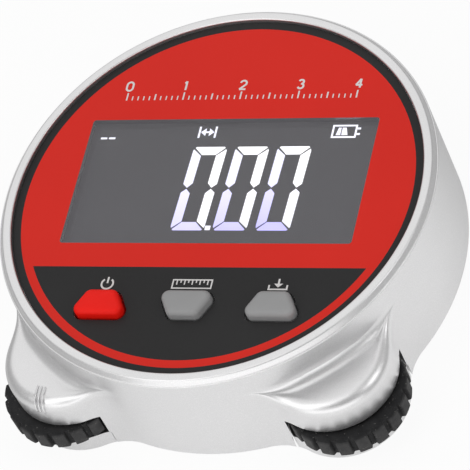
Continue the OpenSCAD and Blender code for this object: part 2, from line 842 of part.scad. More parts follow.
// Hub with a grooved rim, a web with holes and a sleeve for the axle
module hub() {
    middle = tyre_z + tyre_w / 2;
    bead = tyre_w / 3;
    web_r = hub_r - 1.4;
    hole_d = (web_r + sleeve_r) / 2;
    color([0.2, 0.2, 0.22]) difference() {
        rotate_extrude() polygon([
            [axle_r, sleeve_z], [sleeve_r, sleeve_z], [sleeve_r, middle - hub_web_t / 2],
            [web_r, middle - hub_web_t / 2], [web_r, tyre_z + bead_c], [hub_r, tyre_z + bead_c],
            [hub_r, middle - bead / 2], [hub_r - hub_groove, middle - bead / 2],
            [hub_r - hub_groove, middle + bead / 2], [hub_r, middle + bead / 2],
            [hub_r, tyre_top - bead_c], [web_r, tyre_top - bead_c], [web_r, middle + hub_web_t / 2],
            [sleeve_r, middle + hub_web_t / 2], [sleeve_r, sleeve_top], [axle_r, sleeve_top]
        ]);
        for (k = [0 : 5]) {
            rotate([0, 0, 60 * k]) translate([hole_d, 0, tyre_z]) cylinder(r = hub_hole_r, h = tyre_w);
        }
    }
}

module left_hub() {
    on_frame() at_wheel(-1) hub();
}

module right_hub() {
    on_frame() at_wheel(1) hub();
}

module axle() {
    end_c = 0.2;
    low = bore_start + axle_play;
    high = bore_end - axle_play;
    color(steel) rotate_extrude() polygon([
        [0, low], [axle_r - end_c, low], [axle_r, low + end_c], [axle_r, high - end_c],
        [axle_r - end_c, high], [0, high]
    ]);
}

module left_axle() {
    on_frame() at_wheel(-1) axle();
}

module right_axle() {
    on_frame() at_wheel(1) axle();
}

module encoder_disc() {
    slit_w = 0.35;
    slit_in = 0.62 * encoder_r;
    slit_out = 0.93 * encoder_r;
    on_frame() at_wheel(1) color(black) translate([0, 0, disc_z]) difference() {
        cylinder(r = encoder_r, h = encoder_t);
        translate([0, 0, -1]) cylinder(r = sleeve_r, h = encoder_t + 2);
        for (k = [0 : encoder_n - 1]) {
            rotate([0, 0, k * 360 / encoder_n]) translate([slit_in, -slit_w / 2, -1])
                cube([slit_out - slit_in, slit_w, encoder_t + 2]);
        }
    }
}

module photo_interrupter() {
    reach = wheel_d - encoder_r;
    mouth = reach + sensor_grip;
    low = tyre_top + sensor_gap;
    on_frame() at_lobe(1) color(black) difference() {
        translate([-sensor_w / 2, -mouth, low]) cube([sensor_w, sensor_l, board_z - low]);
        translate([-sensor_w / 2 - 1, -mouth - 1, disc_z - sensor_slot])
            cube([sensor_w + 2, mouth - reach + sensor_end + 1, encoder_t + 2 * sensor_slot]);
    }
}

// Cell along X with its pip towards +X, its middle at the origin
module cell() {
    end_c = 0.4;
    can = cell_l - pip_h;
    rotate([0, 90, 0]) translate([0, 0, -cell_l / 2]) rotate_extrude() polygon([
        [0, 0], [cell_r - end_c, 0], [cell_r, end_c], [cell_r, can - end_c], [cell_r - end_c, can],
        [pip_r, can], [pip_r, cell_l - 0.2], [pip_r - 0.2, cell_l], [0, cell_l]
    ]);
}

module cell_lower() {
    on_frame() color([0.2, 0.3, 0.55])
        translate([-cell_shift, bay_y - cell_pitch / 2, cell_z]) mirror([1, 0, 0]) cell();
}

module cell_upper() {
    on_frame() color([0.2, 0.3, 0.55]) translate([cell_shift, bay_y + cell_pitch / 2, cell_z]) cell();
}

// Conical wire spring from a contact plate at x = 0 to a cell at x = spring_l
module contact_spring() {
    turns = 3.5;
    steps = 70;
    sides = 8;
    base_r = 0.72 * cell_r;
    tip_r = 0.4 * cell_r;
    points = [for (i = [0 : steps], j = [0 : sides - 1])
        let (
            turn = 360 * turns * i / steps,
            r = base_r + (tip_r - base_r) * i / steps + wire_r * cos(360 * j / sides),
            x = wire_r + (spring_l - 2 * wire_r) * i / steps + wire_r * sin(360 * j / sides)
        )
        [x, r * cos(turn), r * sin(turn)]];
    sheets = [for (i = [0 : steps - 1], j = [0 : sides - 1])
        let (a = i * sides + j, b = i * sides + (j + 1) % sides)
        [a, b, b + sides, a + sides]];
    start = [[for (j = [0 : sides - 1]) sides - 1 - j]];
    finish = [[for (j = [0 : sides - 1]) steps * sides + j]];
    polyhedron(points, concat(start, sheets, finish));
}

module contact_springs() {
    on_frame() color(steel) {
        translate([-bay_l / 2 + contact_t, bay_y + cell_pitch / 2, cell_z]) contact_spring();
        translate([bay_l / 2 - contact_t, bay_y - cell_pitch / 2, cell_z])
            rotate([0, 0, 180]) contact_spring();
    }
}

// Contact plate on the left end of the bay with a tail up to the board
module end_contact(row) {
    height = 2 * (cell_z - contact_z);
    translate([-bay_l / 2, bay_y + row * cell_pitch / 2, 0]) {
        translate([0, -contact_w / 2, contact_z]) cube([contact_t, contact_w, height]);
        translate([0, -tail_w / 2, contact_z]) cube([contact_t, tail_w, board_top - contact_z - 0.1]);
    }
}

module plus_contact() {
    on_frame() color(steel) end_contact(-1);
}

module minus_contact() {
    on_frame() color(steel) end_contact(1);
}

module bridge_contact() {
    height = 2 * (cell_z - contact_z);
    width = cell_pitch + contact_w;
    on_frame() color(steel) translate([bay_l / 2 - contact_t, bay_y - width / 2, contact_z])
        cube([contact_t, width, height]);
}

// Cross-head screw with its head's underside at z = 0 and its shank up
module screw(r, length, head) {
    slot_w = 0.4 * r;
    difference() {
        union() {
            translate([0, 0, -head_h]) cylinder(r = head, h = head_h);
            cylinder(r = r, h = length - r);
            translate([0, 0, length - r]) cylinder(r1 = r, r2 = 0.3 * r, h = r);
        }
        for (turn = [0, 90]) {
            rotate([0, 0, turn]) translate([-0.6 * head, -slot_w / 2, -head_h - 1])
                cube([1.2 * head, slot_w, 1 + 0.6 * head_h]);
        }
    }
}

module case_screws() {
    on_frame() color(steel) at_case_screws() translate([0, 0, head_pocket]) screw(screw_r, screw_l, head_r);
}

module board_screws() {
    on_frame() color(steel) at_board_posts() translate([0, 0, board_z])
        screw(post_screw_r, post_screw_l, 0.8 * head_r);
}

front_housing();
back_cover();
battery_door();
face_label();
label_ring();
key_panel();
display_window();
polariser();
lcd_glass();
light_guide();
backlight_lamps();
connector_strips();
display_frame();
main_board();
controller_chip();
key_switches();
power_key();
unit_key();
memory_key();
left_tyre();
right_tyre();
left_hub();
right_hub();
left_axle();
right_axle();
encoder_disc();
photo_interrupter();
cell_lower();
cell_upper();
contact_springs();
plus_contact();
minus_contact();
bridge_contact();
case_screws();
board_screws();
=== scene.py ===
"""Looks of a round handheld rolling distance gauge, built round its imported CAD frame.

Sizes are in millimetres in the row frame and become metres where a mesh is made.
"""

import json
import math

import bpy
from mathutils import Matrix, Vector

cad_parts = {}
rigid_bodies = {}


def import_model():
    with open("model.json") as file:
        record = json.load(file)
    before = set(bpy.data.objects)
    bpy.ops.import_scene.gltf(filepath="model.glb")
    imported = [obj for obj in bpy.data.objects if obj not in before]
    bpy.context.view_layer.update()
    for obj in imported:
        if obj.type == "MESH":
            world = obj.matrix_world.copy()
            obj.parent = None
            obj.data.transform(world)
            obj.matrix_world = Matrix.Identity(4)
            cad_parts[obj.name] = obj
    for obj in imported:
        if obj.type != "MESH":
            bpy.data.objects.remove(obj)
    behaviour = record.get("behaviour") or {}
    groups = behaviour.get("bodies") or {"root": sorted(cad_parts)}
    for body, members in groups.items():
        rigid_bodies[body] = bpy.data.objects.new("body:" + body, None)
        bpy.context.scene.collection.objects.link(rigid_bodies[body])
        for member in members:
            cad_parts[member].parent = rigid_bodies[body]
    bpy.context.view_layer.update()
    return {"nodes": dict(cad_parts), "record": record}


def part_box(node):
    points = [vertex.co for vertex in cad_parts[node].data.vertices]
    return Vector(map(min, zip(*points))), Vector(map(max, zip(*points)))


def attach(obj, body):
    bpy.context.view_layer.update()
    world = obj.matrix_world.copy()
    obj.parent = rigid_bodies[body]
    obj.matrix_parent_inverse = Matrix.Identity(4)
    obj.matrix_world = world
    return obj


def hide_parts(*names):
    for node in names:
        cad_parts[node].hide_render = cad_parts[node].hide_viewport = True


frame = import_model()

MM = 0.001


def node_box(node):
    """Lowest and highest corner of a CAD node, in millimetres."""
    low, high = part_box(node)
    return low / MM, high / MM


def node_middle(node):
    """Middle of a CAD node's box, in millimetres."""
    low, high = node_box(node)
    return (low + high) / 2


# Places and sizes that the frame gives
AXIS_Y = node_middle("label_ring").y
LABEL_Z = node_box("face_label")[1].z
FLOOR_Z = node_box("face_label")[0].z
FILM_Z = node_box("polariser")[1].z
CASE_R = node_box("front_housing")[1].x

# Drum case, with the angle in degrees from which an edge is drawn sharp
WALL_T = 2.0
DECK_T = 2.0
BEZEL_W = 2.22
FACE_R = CASE_R - BEZEL_W
RIM_W = 1.42
RIM_RISE = 0.9
RIM_FOOT = 1.5
RIM_CUT = 0.12
SLOPE_CUT = 0.2
LEDGE_W = 0.25
LEDGE_CUT = 0.1
EDGE_C = 0.15
FOOT_R = 0.3
FOOT_STEPS = 3
WALL_STEPS = 6
COLUMNS = 540
CREASE = 32

# Wheel lobes, their shoulders and the shoulders' tips
LOBE_A = math.radians(40)
LOBE_R = 10.5
LOBE_D = 34.2
LOBE_H = 13.88
LOBE_WALL = 1.8
LOBE_ROOF = 1.8
LOBE_EDGE = 2.0
ROUND_STEPS = 9
FLAT_STEPS = 5
HOLLOW_R = 1.5
HOLLOW_MORE = 0.7
HOLLOW_START = math.radians(29)
HOLLOW_FADE = (math.radians(6), math.radians(15))
TIP_SOFT = math.radians(3)
TIP_STEPS = 10
TIP_CLIMB = 1.6
TIP_FADE = 1.8
TIP_SPREAD = math.radians(9)
BLEND_R = 9.0
BLEND_D = CASE_R + BLEND_R
BLEND_A = math.acos((BLEND_D**2 + LOBE_D**2 - (LOBE_R + BLEND_R) ** 2) / (2 * BLEND_D * LOBE_D))

# Index ribs on the left shoulder, from a start to an end in degrees round its edge, then along its flat
RIB_PITCH = 0.66
RIB_W = 0.32
RIB_RISE = 0.42
RIB_ROOT = 0.1
RIB_START = -6
RIB_END = 104
RIB_RUN = 0.09

# Wheels
WHEEL_D = 37.15
SLOT_R = 10.55
SLOT_TOP = 8.01
TAB_H = 3.15
SEAM_W = 0.2
TYRE_R = 10.05
TYRE_ROW = 0.4
TREAD_N = 20
TREAD_PITCH = 2 * math.pi * TYRE_R / TREAD_N
TREAD_R = 9.35
TREAD_GROOVE = 0.95
TREAD_FLANK = 0.13
TREAD_EDGE = 0.25
TREAD_CUT = 0.12
# Radii over which the tread's block faces turn paler, partly from scuffing and partly as painted sheen of
# the light on them
SCUFF_SHEEN_START = 0.3
SCUFF_SHEEN_FULL = 0.05
HUB_R = 7.0
BEAD_C = 0.3
BEAD_CUT = 0.1

# Keys, with whether the wide edge is up and the share of the crown's rise that the rounded edge has
KEYS = {"power_key": False, "unit_key": True, "memory_key": False}
KEY_H = 4.7
KEY_WIDE = 9.9
KEY_SHORT = 4.9
KEY_CORNER = 1.25
KEY_EDGE = 0.85
KEY_EDGE_STEPS = 8
KEY_GAP = 0.35
KEY_CROWN = 0.1
KEY_CROWN_STEPS = 6
EDGE_CROWN = 0.3
KEY_FLANGE_W = 0.8
KEY_FLANGE_T = 0.6
KEY_STUB_L = 0.4
KEY_STUB_R = 1.3

# Display
WINDOW_CORNER = 0.5
INLAY_GAP = 0.05
WINDOW_LEDGE = 0.6
MASK_LAP = 0.05
MASK_T = 0.02
DIGIT_W = 5.8
DIGIT_H = 16.35
DIGIT_Y = 0.95
DIGIT_PITCH = 7.25
DIGIT_FIRST = -3.1
DIGIT_SLANT = 0.031
STROKE_W = 1.58
STROKE_GAP = 0.26
INK_T = 0.02
GLOW_T = 0.05
# Step from a point seen on the window's face to its place under the window, in the photograph's view
UNDER_WINDOW = Vector((-0.533, 0.777))

# Printed signs, with places measured from the drum axis
SCALE_Y = 18.7
SCALE_TICKS = 40
FIGURE_Y = 21.55
FIGURE_H = 1.75
FIGURE_LINE = 0.34
SIGN_Y = -17.45
SIGN_LINE = 0.3


# Mesh helpers


def loft(rings, loop=False):
    """Skin through closed rings of equally many points, capped at both ends unless the rings loop."""
    count = len(rings[0])
    points = [tuple(point) for ring in rings for point in ring]
    faces = []
    spans = len(rings) if loop else len(rings) - 1
    for i in range(spans):
        a = i * count
        b = (i + 1) % len(rings) * count
        for j in range(count):
            k = (j + 1) % count
            faces.append((a + j, a + k, b + k, b + j))
    if not loop:
        faces.append(tuple(reversed(range(count))))
        faces.append(tuple(range((len(rings) - 1) * count, len(rings) * count)))
    return points, faces


def prism(outline, low, high):
    """Closed slab over a plan outline given counterclockwise."""
    return loft([[(x, y, low) for x, y in outline], [(x, y, high) for x, y in outline]])


def band(outer, inner, low, high):
    """Closed slab between two plan outlines of equally many points."""
    rings = [(outer, low), (outer, high), (inner, high), (inner, low)]
    return loft([[(x, y, z) for x, y in plan] for plan, z in rings], loop=True)


def circle(x, y, r, count):
    """Plan points of a circle, counterclockwise."""
    turns = [2 * math.pi * k / count for k in range(count)]
    return [(x + r * math.cos(a), y + r * math.sin(a)) for a in turns]


def arc(x, y, r, start, end, count):
    """Plan points of an arc from one angle to another, in degrees."""
    turns = [math.radians(start + (end - start) * k / count) for k in range(count + 1)]
    return [(x + r * math.cos(a), y + r * math.sin(a)) for a in turns]


def rectangle(x0, y0, x1, y1):
    """Plan points of a rectangle, counterclockwise."""
    return [(x0, y0), (x1, y0), (x1, y1), (x0, y1)]


def round_rectangle(x0, y0, x1, y1, r, count=6):
    """Plan points of a rectangle with rounded corners, counterclockwise."""
    return (
        arc(x0 + r, y0 + r, r, 180, 270, count)
        + arc(x1 - r, y0 + r, r, 270, 360, count)
        + arc(x1 - r, y1 - r, r, 0, 90, count)
        + arc(x0 + r, y1 - r, r, 90, 180, count)
    )


def stroke(path, width):
    """Plan outline of a pen stroke of even width along an open path."""
    left = []
    right = []
    for k, here in enumerate(path):
        here = Vector(here)
        before = Vector(path[max(k - 1, 0)])
        after = Vector(path[min(k + 1, len(path) - 1)])
        along = (after - before).normalized()
        side = Vector((-along.y, along.x)) * (width / 2)
        if 0 < k < len(path) - 1:
            side = side / max(0.5, (here - before).normalized().dot(along))
        left.append(tuple(here + side))
        right.append(tuple(here - side))
    return right + left[::-1]


def softened(corners, steps=4):
    """Points of an open path whose corners, given as (x, y, cut), are rounded over their cuts."""
    path = []
    for k, (x, y, cut) in enumerate(corners):
        here = Vector((x, y))
        if cut == 0 or k in (0, len(corners) - 1):
            path.append(here)
            continue
        before = Vector(corners[k - 1][:2]) - here
        after = Vector(corners[k + 1][:2]) - here
        start = here + before.normalized() * cut
        end = here + after.normalized() * cut
        for i in range(steps + 1):
            t = i / steps
            path.append(start * (1 - t) ** 2 + here * (2 * t * (1 - t)) + end * t**2)
    return path


def smooth_step(value, start, end):
    """0 below the start and 1 above the end, with a soft rise between them."""
    t = min(max((value - start) / (end - start), 0), 1)
    return t * t * (3 - 2 * t)


def mesh_of(name, skins, crease=CREASE):
    """Mesh of one or more skins, smooth but for edges sharper than the crease angle."""
    points = []
    faces = []
    for skin_points, skin_faces in skins:
        start = len(points)
        points.extend(Vector(p) * MM for p in skin_points)
        faces.extend(tuple(start + i for i in face) for face in skin_faces)
    mesh = bpy.data.meshes.new(name)
    mesh.from_pydata(points, [], faces)
    mesh.update()
    mesh.shade_smooth()
    mesh.set_sharp_from_angle(angle=math.radians(crease))
    return mesh


def add_values(mesh, name, values):
    """Stores one number per point of a mesh for its material."""
    attribute = mesh.attributes.new(name, "FLOAT", "POINT")
    attribute.data.foreach_set("value", values)


def add_object(name, mesh):
    """Object of a mesh, linked to the scene."""
    made = bpy.data.objects.new(name, mesh)
    bpy.context.scene.collection.objects.link(made)
    return made


def piece(name, mesh, body, material):
    """Shown piece of the part that rides on a body and takes the material it is given."""
    made = add_object(name, mesh)
    mesh.materials.clear()
    mesh.materials.append(material)
    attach(made, body)
    return made


def even_shading(made):
    """Lets large faces set the shading of the small rounded ones beside them."""
    normals = made.modifiers.new("even_shading", "WEIGHTED_NORMAL")
    normals.keep_sharp = True
    normals.weight = 80


# Material helpers


def shader(name):
    """New node material with its tree and its surface shader."""
    material = bpy.data.materials.new(name)
    material.use_nodes = True
    return material, material.node_tree, material.node_tree.nodes["Principled BSDF"]


def place(tree):
    """Socket with the piece's own coordinates."""
    return tree.nodes.new("ShaderNodeTexCoord").outputs["Object"]


def noise(tree, scale, detail=3.0, stretch=(1.0, 1.0, 1.0)):
    """Socket with smooth noise between 0 and 1, at a scale per metre."""
    mapping = tree.nodes.new("ShaderNodeMapping")
    mapping.inputs["Scale"].default_value = stretch
    tree.links.new(place(tree), mapping.inputs["Vector"])
    made = tree.nodes.new("ShaderNodeTexNoise")
    made.inputs["Scale"].default_value = scale
    made.inputs["Detail"].default_value = detail
    tree.links.new(mapping.outputs["Vector"], made.inputs["Vector"])
    return made.outputs["Fac"]


def stored(tree, name):
    """Socket with a number stored in the mesh."""
    made = tree.nodes.new("ShaderNodeAttribute")
    made.attribute_name = name
    return made.outputs["Fac"]


def spread(tree, value, low, high, start=0.3, end=0.7):
    """Socket that takes a value from one range to another."""
    made = tree.nodes.new("ShaderNodeMapRange")
    made.inputs["From Min"].default_value = start
    made.inputs["From Max"].default_value = end
    made.inputs["To Min"].default_value = low
    made.inputs["To Max"].default_value = high
    tree.links.new(value, made.inputs["Value"])
    return made.outputs["Result"]


def shades(tree, value, stops):
    """Socket with a colour ramp over a value, from (position, colour) stops."""
    made = tree.nodes.new("ShaderNodeValToRGB")
    ramp = made.color_ramp
    while len(ramp.elements) < len(stops):
        ramp.elements.new(0.5)
    for element, (position, colour) in zip(ramp.elements, stops):
        element.position = position
        element.color = (*colour, 1)
    tree.links.new(value, made.inputs["Fac"])
    return made.outputs["Color"]


def greys(tree, value, stops):
    """Socket with a ramp of greys over a value, from (position, level) stops."""
    return shades(tree, value, [(position, (level, level, level)) for position, level in stops])


def blend_colours(tree, amount, first, second):
    """Socket that goes from one colour socket to another by an amount."""
    made = tree.nodes.new("ShaderNodeMix")
    made.data_type = "RGBA"
    tree.links.new(amount, made.inputs["Factor"])
    tree.links.new(first, made.inputs["A"])
    tree.links.new(second, made.inputs["B"])
    return made.outputs["Result"]


def bump(tree, surface, height, depth, strength=1.0):
    """Raises a surface by a height socket, over a depth in millimetres."""
    made = tree.nodes.new("ShaderNodeBump")
    made.inputs["Strength"].default_value = strength
    made.inputs["Distance"].default_value = depth * MM
    tree.links.new(height, made.inputs["Height"])
    tree.links.new(made.outputs["Normal"], surface.inputs["Normal"])


def edge_wear(tree, reach):
    """Socket that is 0 on flat places and rises at sharp edges, over a reach in millimetres."""
    bevel = tree.nodes.new("ShaderNodeBevel")
    bevel.samples = 6
    bevel.inputs["Radius"].default_value = reach * MM
    facing = tree.nodes.new("ShaderNodeVectorMath")
    facing.operation = "DOT_PRODUCT"
    tree.links.new(bevel.outputs["Normal"], facing.inputs[0])
    tree.links.new(tree.nodes.new("ShaderNodeNewGeometry").outputs["Normal"], facing.inputs[1])
    return spread(tree, facing.outputs["Value"], 0.5, 0.0, 0.8, 0.98)


def grained(name, dark, light, rough, grain=2500, depth=0.01, gloss=0.5, wear_and_sheen=0.1):
    """Moulded or printed finish: faint patches, uneven gloss, a fine grain and paler worn edges."""
    material, tree, surface = shader(name)
    patches = noise(tree, 45, 4)
    colour = shades(tree, patches, [(0.3, dark), (0.7, light)])
    pale = tuple(0.75 * c + 0.25 * max(light) for c in light)
    rubbed = shades(tree, patches, [(0.3, light), (0.7, pale)])
    worn = blend_colours(tree, edge_wear(tree, wear_and_sheen), colour, rubbed)
    tree.links.new(worn, surface.inputs["Base Color"])
    fine = noise(tree, grain, 2)
    tree.links.new(spread(tree, fine, rough - 0.06, rough + 0.06), surface.inputs["Roughness"])
    surface.inputs["Specular IOR Level"].default_value = gloss
    bump(tree, surface, fine, depth)
    return material


# Materials


def silver_paint():
    """Satin silver lacquer with metal flakes over moulded plastic."""
    material, tree, surface = shader("silver_paint")
    flakes = noise(tree, 7000, 2)
    clouds = noise(tree, 40, 4)
    quiet = shades(tree, clouds, [(0.3, (0.75, 0.748, 0.752)), (0.7, (0.79, 0.786, 0.79))])
    bright = shades(tree, clouds, [(0.3, (0.84, 0.838, 0.84)), (0.7, (0.88, 0.876, 0.88))])
    sparkle = spread(tree, flakes, 0.0, 1.0, 0.45, 0.7)
    tree.links.new(blend_colours(tree, sparkle, quiet, bright), surface.inputs["Base Color"])
    tree.links.new(spread(tree, flakes, 0.3, 0.42), surface.inputs["Roughness"])
    surface.inputs["Metallic"].default_value = 1.0
    bump(tree, surface, flakes, 0.006, 0.5)
    return material


def smoked_window():
    """Clear acrylic with a grey tint and faint wipe marks."""
    material, tree, surface = shader("smoked_window")
    wiped = noise(tree, 260, 3, (1.0, 0.15, 1.0))
    tree.links.new(spread(tree, wiped, 0.02, 0.07), surface.inputs["Roughness"])
    tint = shades(tree, noise(tree, 30, 2), [(0.3, (0.8, 0.8, 0.82)), (0.7, (0.84, 0.84, 0.86))])
    tree.links.new(tint, surface.inputs["Base Color"])
    surface.inputs["Transmission Weight"].default_value = 1.0
    surface.inputs["IOR"].default_value = 1.1
    return material


def display_film():
    """Grey polariser film that the display's lamps shine through, with a fine dot grid."""
    material, tree, surface = shader("display_film")
    dots = tree.nodes.new("ShaderNodeTexVoronoi")
    dots.inputs["Scale"].default_value = 4000
    dots.inputs["Randomness"].default_value = 0.0
    tree.links.new(place(tree), dots.inputs["Vector"])
    away = dots.outputs["Distance"]
    grey = shades(tree, away, [(0.2, (0.1, 0.097, 0.102)), (0.6, (0.09, 0.087, 0.092))])
    tree.links.new(grey, surface.inputs["Emission Color"])
    surface.inputs["Emission Strength"].default_value = 1.0
    dull = shades(tree, away, [(0.2, (0.03, 0.03, 0.03)), (0.6, (0.02, 0.02, 0.02))])
    tree.links.new(dull, surface.inputs["Base Color"])
    surface.inputs["Roughness"].default_value = 0.5
    return material


def lit_segment():
    """White light through the display's clear segments, bluer where the stored tint is high."""
    material, tree, surface = shader("lit_segment")
    tint = stored(tree, "tint")
    glow = shades(tree, tint, [(0.0, (1.0, 1.0, 1.0)), (1.0, (0.52, 0.49, 1.0))])
    tree.links.new(glow, surface.inputs["Emission Color"])
    surface.inputs["Emission Strength"].default_value = 1.55
    dull = shades(tree, tint, [(0.0, (0.06, 0.06, 0.06)), (1.0, (0.05, 0.05, 0.07))])
    tree.links.new(dull, surface.inputs["Base Color"])
    surface.inputs["Roughness"].default_value = 0.6
    return material


def tread_rubber():
    """Black rubber with a fine grain, specks of dust and a paler tread, whose block faces are partly scuffed
    and partly painted with the sheen of the light that falls on them.
    """
    material, tree, surface = shader("tread_rubber")
    fine = noise(tree, 4200, 5)
    patches = noise(tree, 700, 4)
    rubber = shades(tree, patches, [(0.3, (0.009, 0.009, 0.01)), (0.7, (0.02, 0.02, 0.021))])
    # Paler tread colour: partly scuffed rubber, partly painted sheen where light falls on the block faces
    scuffed_and_lit = shades(tree, patches, [(0.3, (0.026, 0.026, 0.027)), (0.7, (0.05, 0.049, 0.049))])
    worn_and_lit = blend_colours(tree, stored(tree, "wear_and_sheen"), rubber, scuffed_and_lit)
    dust = shades(tree, fine, [(0.0, (0.2, 0.19, 0.18)), (1.0, (0.34, 0.33, 0.31))])
    specks = spread(tree, noise(tree, 2600, 2), 0.0, 0.6, 0.68, 0.75)
    tree.links.new(blend_colours(tree, specks, worn_and_lit, dust), surface.inputs["Base Color"])
    tree.links.new(spread(tree, fine, 0.58, 0.78), surface.inputs["Roughness"])
    surface.inputs["Specular IOR Level"].default_value = 0.3
    bump(tree, surface, fine, 0.06, 0.6)
    return material


def brushed_steel():
    """Plated steel with fine drawn lines."""
    material, tree, surface = shader("brushed_steel")
    lines = noise(tree, 900, 3, (1.0, 14.0, 14.0))
    grey = shades(tree, lines, [(0.3, (0.5, 0.5, 0.5)), (0.7, (0.62, 0.62, 0.61))])
    tree.links.new(grey, surface.inputs["Base Color"])
    tree.links.new(spread(tree, lines, 0.22, 0.38), surface.inputs["Roughness"])
    surface.inputs["Metallic"].default_value = 1.0
    bump(tree, surface, lines, 0.004, 0.5)
    return material


def circuit_board():
    """Green solder mask over copper tracks."""
    material, tree, surface = shader("circuit_board")
    tracks = tree.nodes.new("ShaderNodeTexBrick")
    tracks.inputs["Scale"].default_value = 420
    tracks.inputs["Mortar Size"].default_value = 0.06
    tracks.inputs["Color1"].default_value = (0.012, 0.11, 0.045, 1)
    tracks.inputs["Color2"].default_value = (0.015, 0.13, 0.052, 1)
    tracks.inputs["Mortar"].default_value = (0.05, 0.26, 0.09, 1)
    tree.links.new(place(tree), tracks.inputs["Vector"])
    tree.links.new(tracks.outputs["Color"], surface.inputs["Base Color"])
    tree.links.new(spread(tree, noise(tree, 1500, 2), 0.3, 0.42), surface.inputs["Roughness"])
    bump(tree, surface, tracks.outputs["Fac"], 0.03)
    return material


def cell_wrap():
    """Printed sleeve of a battery cell: dark blue with a paler band at one end."""
    material, tree, surface = shader("cell_wrap")
    along = tree.nodes.new("ShaderNodeSeparateXYZ")
    tree.links.new(place(tree), along.inputs["Vector"])
    share = spread(tree, along.outputs["X"], 0.0, 1.0, -0.025, 0.025)
    blue = [(0.0, (0.02, 0.05, 0.2)), (0.62, (0.022, 0.055, 0.22))]
    sleeve = shades(tree, share, blue + [(0.66, (0.55, 0.56, 0.58))])
    tree.links.new(sleeve, surface.inputs["Base Color"])
    tree.links.new(spread(tree, noise(tree, 600, 3), 0.25, 0.36), surface.inputs["Roughness"])
    surface.inputs["Metallic"].default_value = 0.3
    return material


FILM = {"grain": 3200, "depth": 0.004, "gloss": 0.2, "wear_and_sheen": 0.03}
MATERIALS = {
    "case_silver": silver_paint(),
    "label_red": grained("red_film", (0.73, 0.017, 0.008), (0.765, 0.019, 0.009), 0.45, **FILM),
    "label_charcoal": grained("charcoal_film", (0.02, 0.0195, 0.02), (0.024, 0.0235, 0.024), 0.48, **FILM),
    "window_smoke": smoked_window(),
    "display_film": display_film(),
    "display_glass": grained("display_glass", (0.11, 0.115, 0.12), (0.13, 0.135, 0.14), 0.15),
    "white_plastic": grained("white_plastic", (0.76, 0.76, 0.74), (0.82, 0.82, 0.8), 0.5),
    "lamp_white": lit_segment(),
    "connector_rubber": grained("connector_rubber", (0.6, 0.3, 0.34), (0.68, 0.36, 0.4), 0.7),
    "board_green": circuit_board(),
    "black_plastic": grained("black_plastic", (0.012, 0.012, 0.013), (0.02, 0.02, 0.021), 0.5),
    "key_red": grained(
        "red_key", (0.9, 0.008, 0.003), (0.97, 0.01, 0.004), 0.5, grain=3000, depth=0.02, gloss=0.2
    ),
    "key_grey": grained(
        "grey_key", (0.315, 0.315, 0.317), (0.355, 0.355, 0.357), 0.5, grain=3000, depth=0.02, gloss=0.25
    ),
    "tyre_black": tread_rubber(),
    "steel": brushed_steel(),
    "cell_wrap": cell_wrap(),
}
PRINT_WHITE = grained(
    "white_ink", (0.72, 0.7, 0.69), (0.8, 0.78, 0.77), 0.5, grain=3200, depth=0.002, gloss=0.3
)


def dress_cad_nodes():
    """Gives every CAD node the material of its slot in the record."""
    slot_of = {part["node"]: part["material_slot"] for part in frame["record"]["subparts"]}
    for name, node in frame["nodes"].items():
        node.data.materials.clear()
        node.data.materials.append(MATERIALS[slot_of[name]])


# Case


def lobe_place(side, distance):
    """Plan place at a distance from the drum axis towards the left (-1) or right (1) wheel."""
    return side * math.sin(LOBE_A) * distance, AXIS_Y - math.cos(LOBE_A) * distance


def outline(turn, inset):
    """Distance from the drum axis to the outline moved in by an inset, at a turn from a lobe's middle."""
    if turn >= BLEND_A:
        return CASE_R - inset
    towards = Vector((BLEND_D * math.sin(BLEND_A), BLEND_D * math.cos(BLEND_A) - LOBE_D)).normalized()
    join = Vector((0, LOBE_D)) + towards * (LOBE_R - inset)
    if turn < math.atan2(join.x, join.y):
        across = LOBE_D * math.sin(turn)
        return LOBE_D * math.cos(turn) + math.sqrt((LOBE_R - inset) ** 2 - across**2)
    away = BLEND_A - turn
    across = BLEND_D * math.sin(away)
    return BLEND_D * math.cos(away) - math.sqrt((BLEND_R + inset) ** 2 - across**2)


def hollow_corner(turn):
    """Radius of a shoulder's hollow corner and its slope at the drum, both largest in the middle."""
    middle = 1 - smooth_step(turn, *HOLLOW_FADE)
    return HOLLOW_R + HOLLOW_MORE * middle, HOLLOW_START * middle


def shoulder_share(turn):
    """Share of their full width that a shoulder's edge and hollow corner have room for."""
    radius, start = hollow_corner(turn)

    def spare(share):
        return outline(turn, share * LOBE_EDGE) - CASE_R - share * radius * math.cos(start)

    if spare(1.0) >= 0:
        return 1.0
    low, high = 0.0, 1.0
    for _ in range(40):
        middle = (low + high) / 2
        if spare(middle) > 0:
            low = middle
        else:
            high = middle
    return low


def shoulder_curve(turn):
    """Points (radius, height) from the lobe's wall over its edge, flat and hollow corner to the drum.

    Where there is little room, the edge and the corner get narrower at their full height and climb the drum.
    On the bare drum the points spread out evenly.
    """
    share = shoulder_share(turn)
    radius, start = hollow_corner(turn)
    top = LOBE_H + TIP_CLIMB * (1 - share) ** TIP_FADE
    points = []
    for k in range(ROUND_STEPS + 1):
        a = math.pi / 2 * k / ROUND_STEPS
        inset = share * LOBE_EDGE * (1 - math.cos(a))
        points.append((outline(turn, inset), top - LOBE_EDGE * (1 - math.sin(a))))
    outer = points[-1][0]
    inner = CASE_R + share * radius * math.cos(start)
    for k in range(1, FLAT_STEPS):
        points.append((outer + (inner - outer) * k / FLAT_STEPS, top))
    for k in range(ROUND_STEPS + 1):
        slope = math.pi / 2 + (start - math.pi / 2) * k / ROUND_STEPS
        reach = share * radius * (math.cos(start) - math.cos(slope))
        points.append((CASE_R + reach, top + radius * (1 - math.sin(slope))))
    apart = smooth_step(turn, BLEND_A, BLEND_A + TIP_SPREAD)
    last = len(points) - 1
    low = LOBE_H - LOBE_EDGE
    high = LOBE_H + TIP_CLIMB + HOLLOW_R
    return [(r, z + apart * (low + (high - low) * k / last - z)) for k, (r, z) in enumerate(points)]


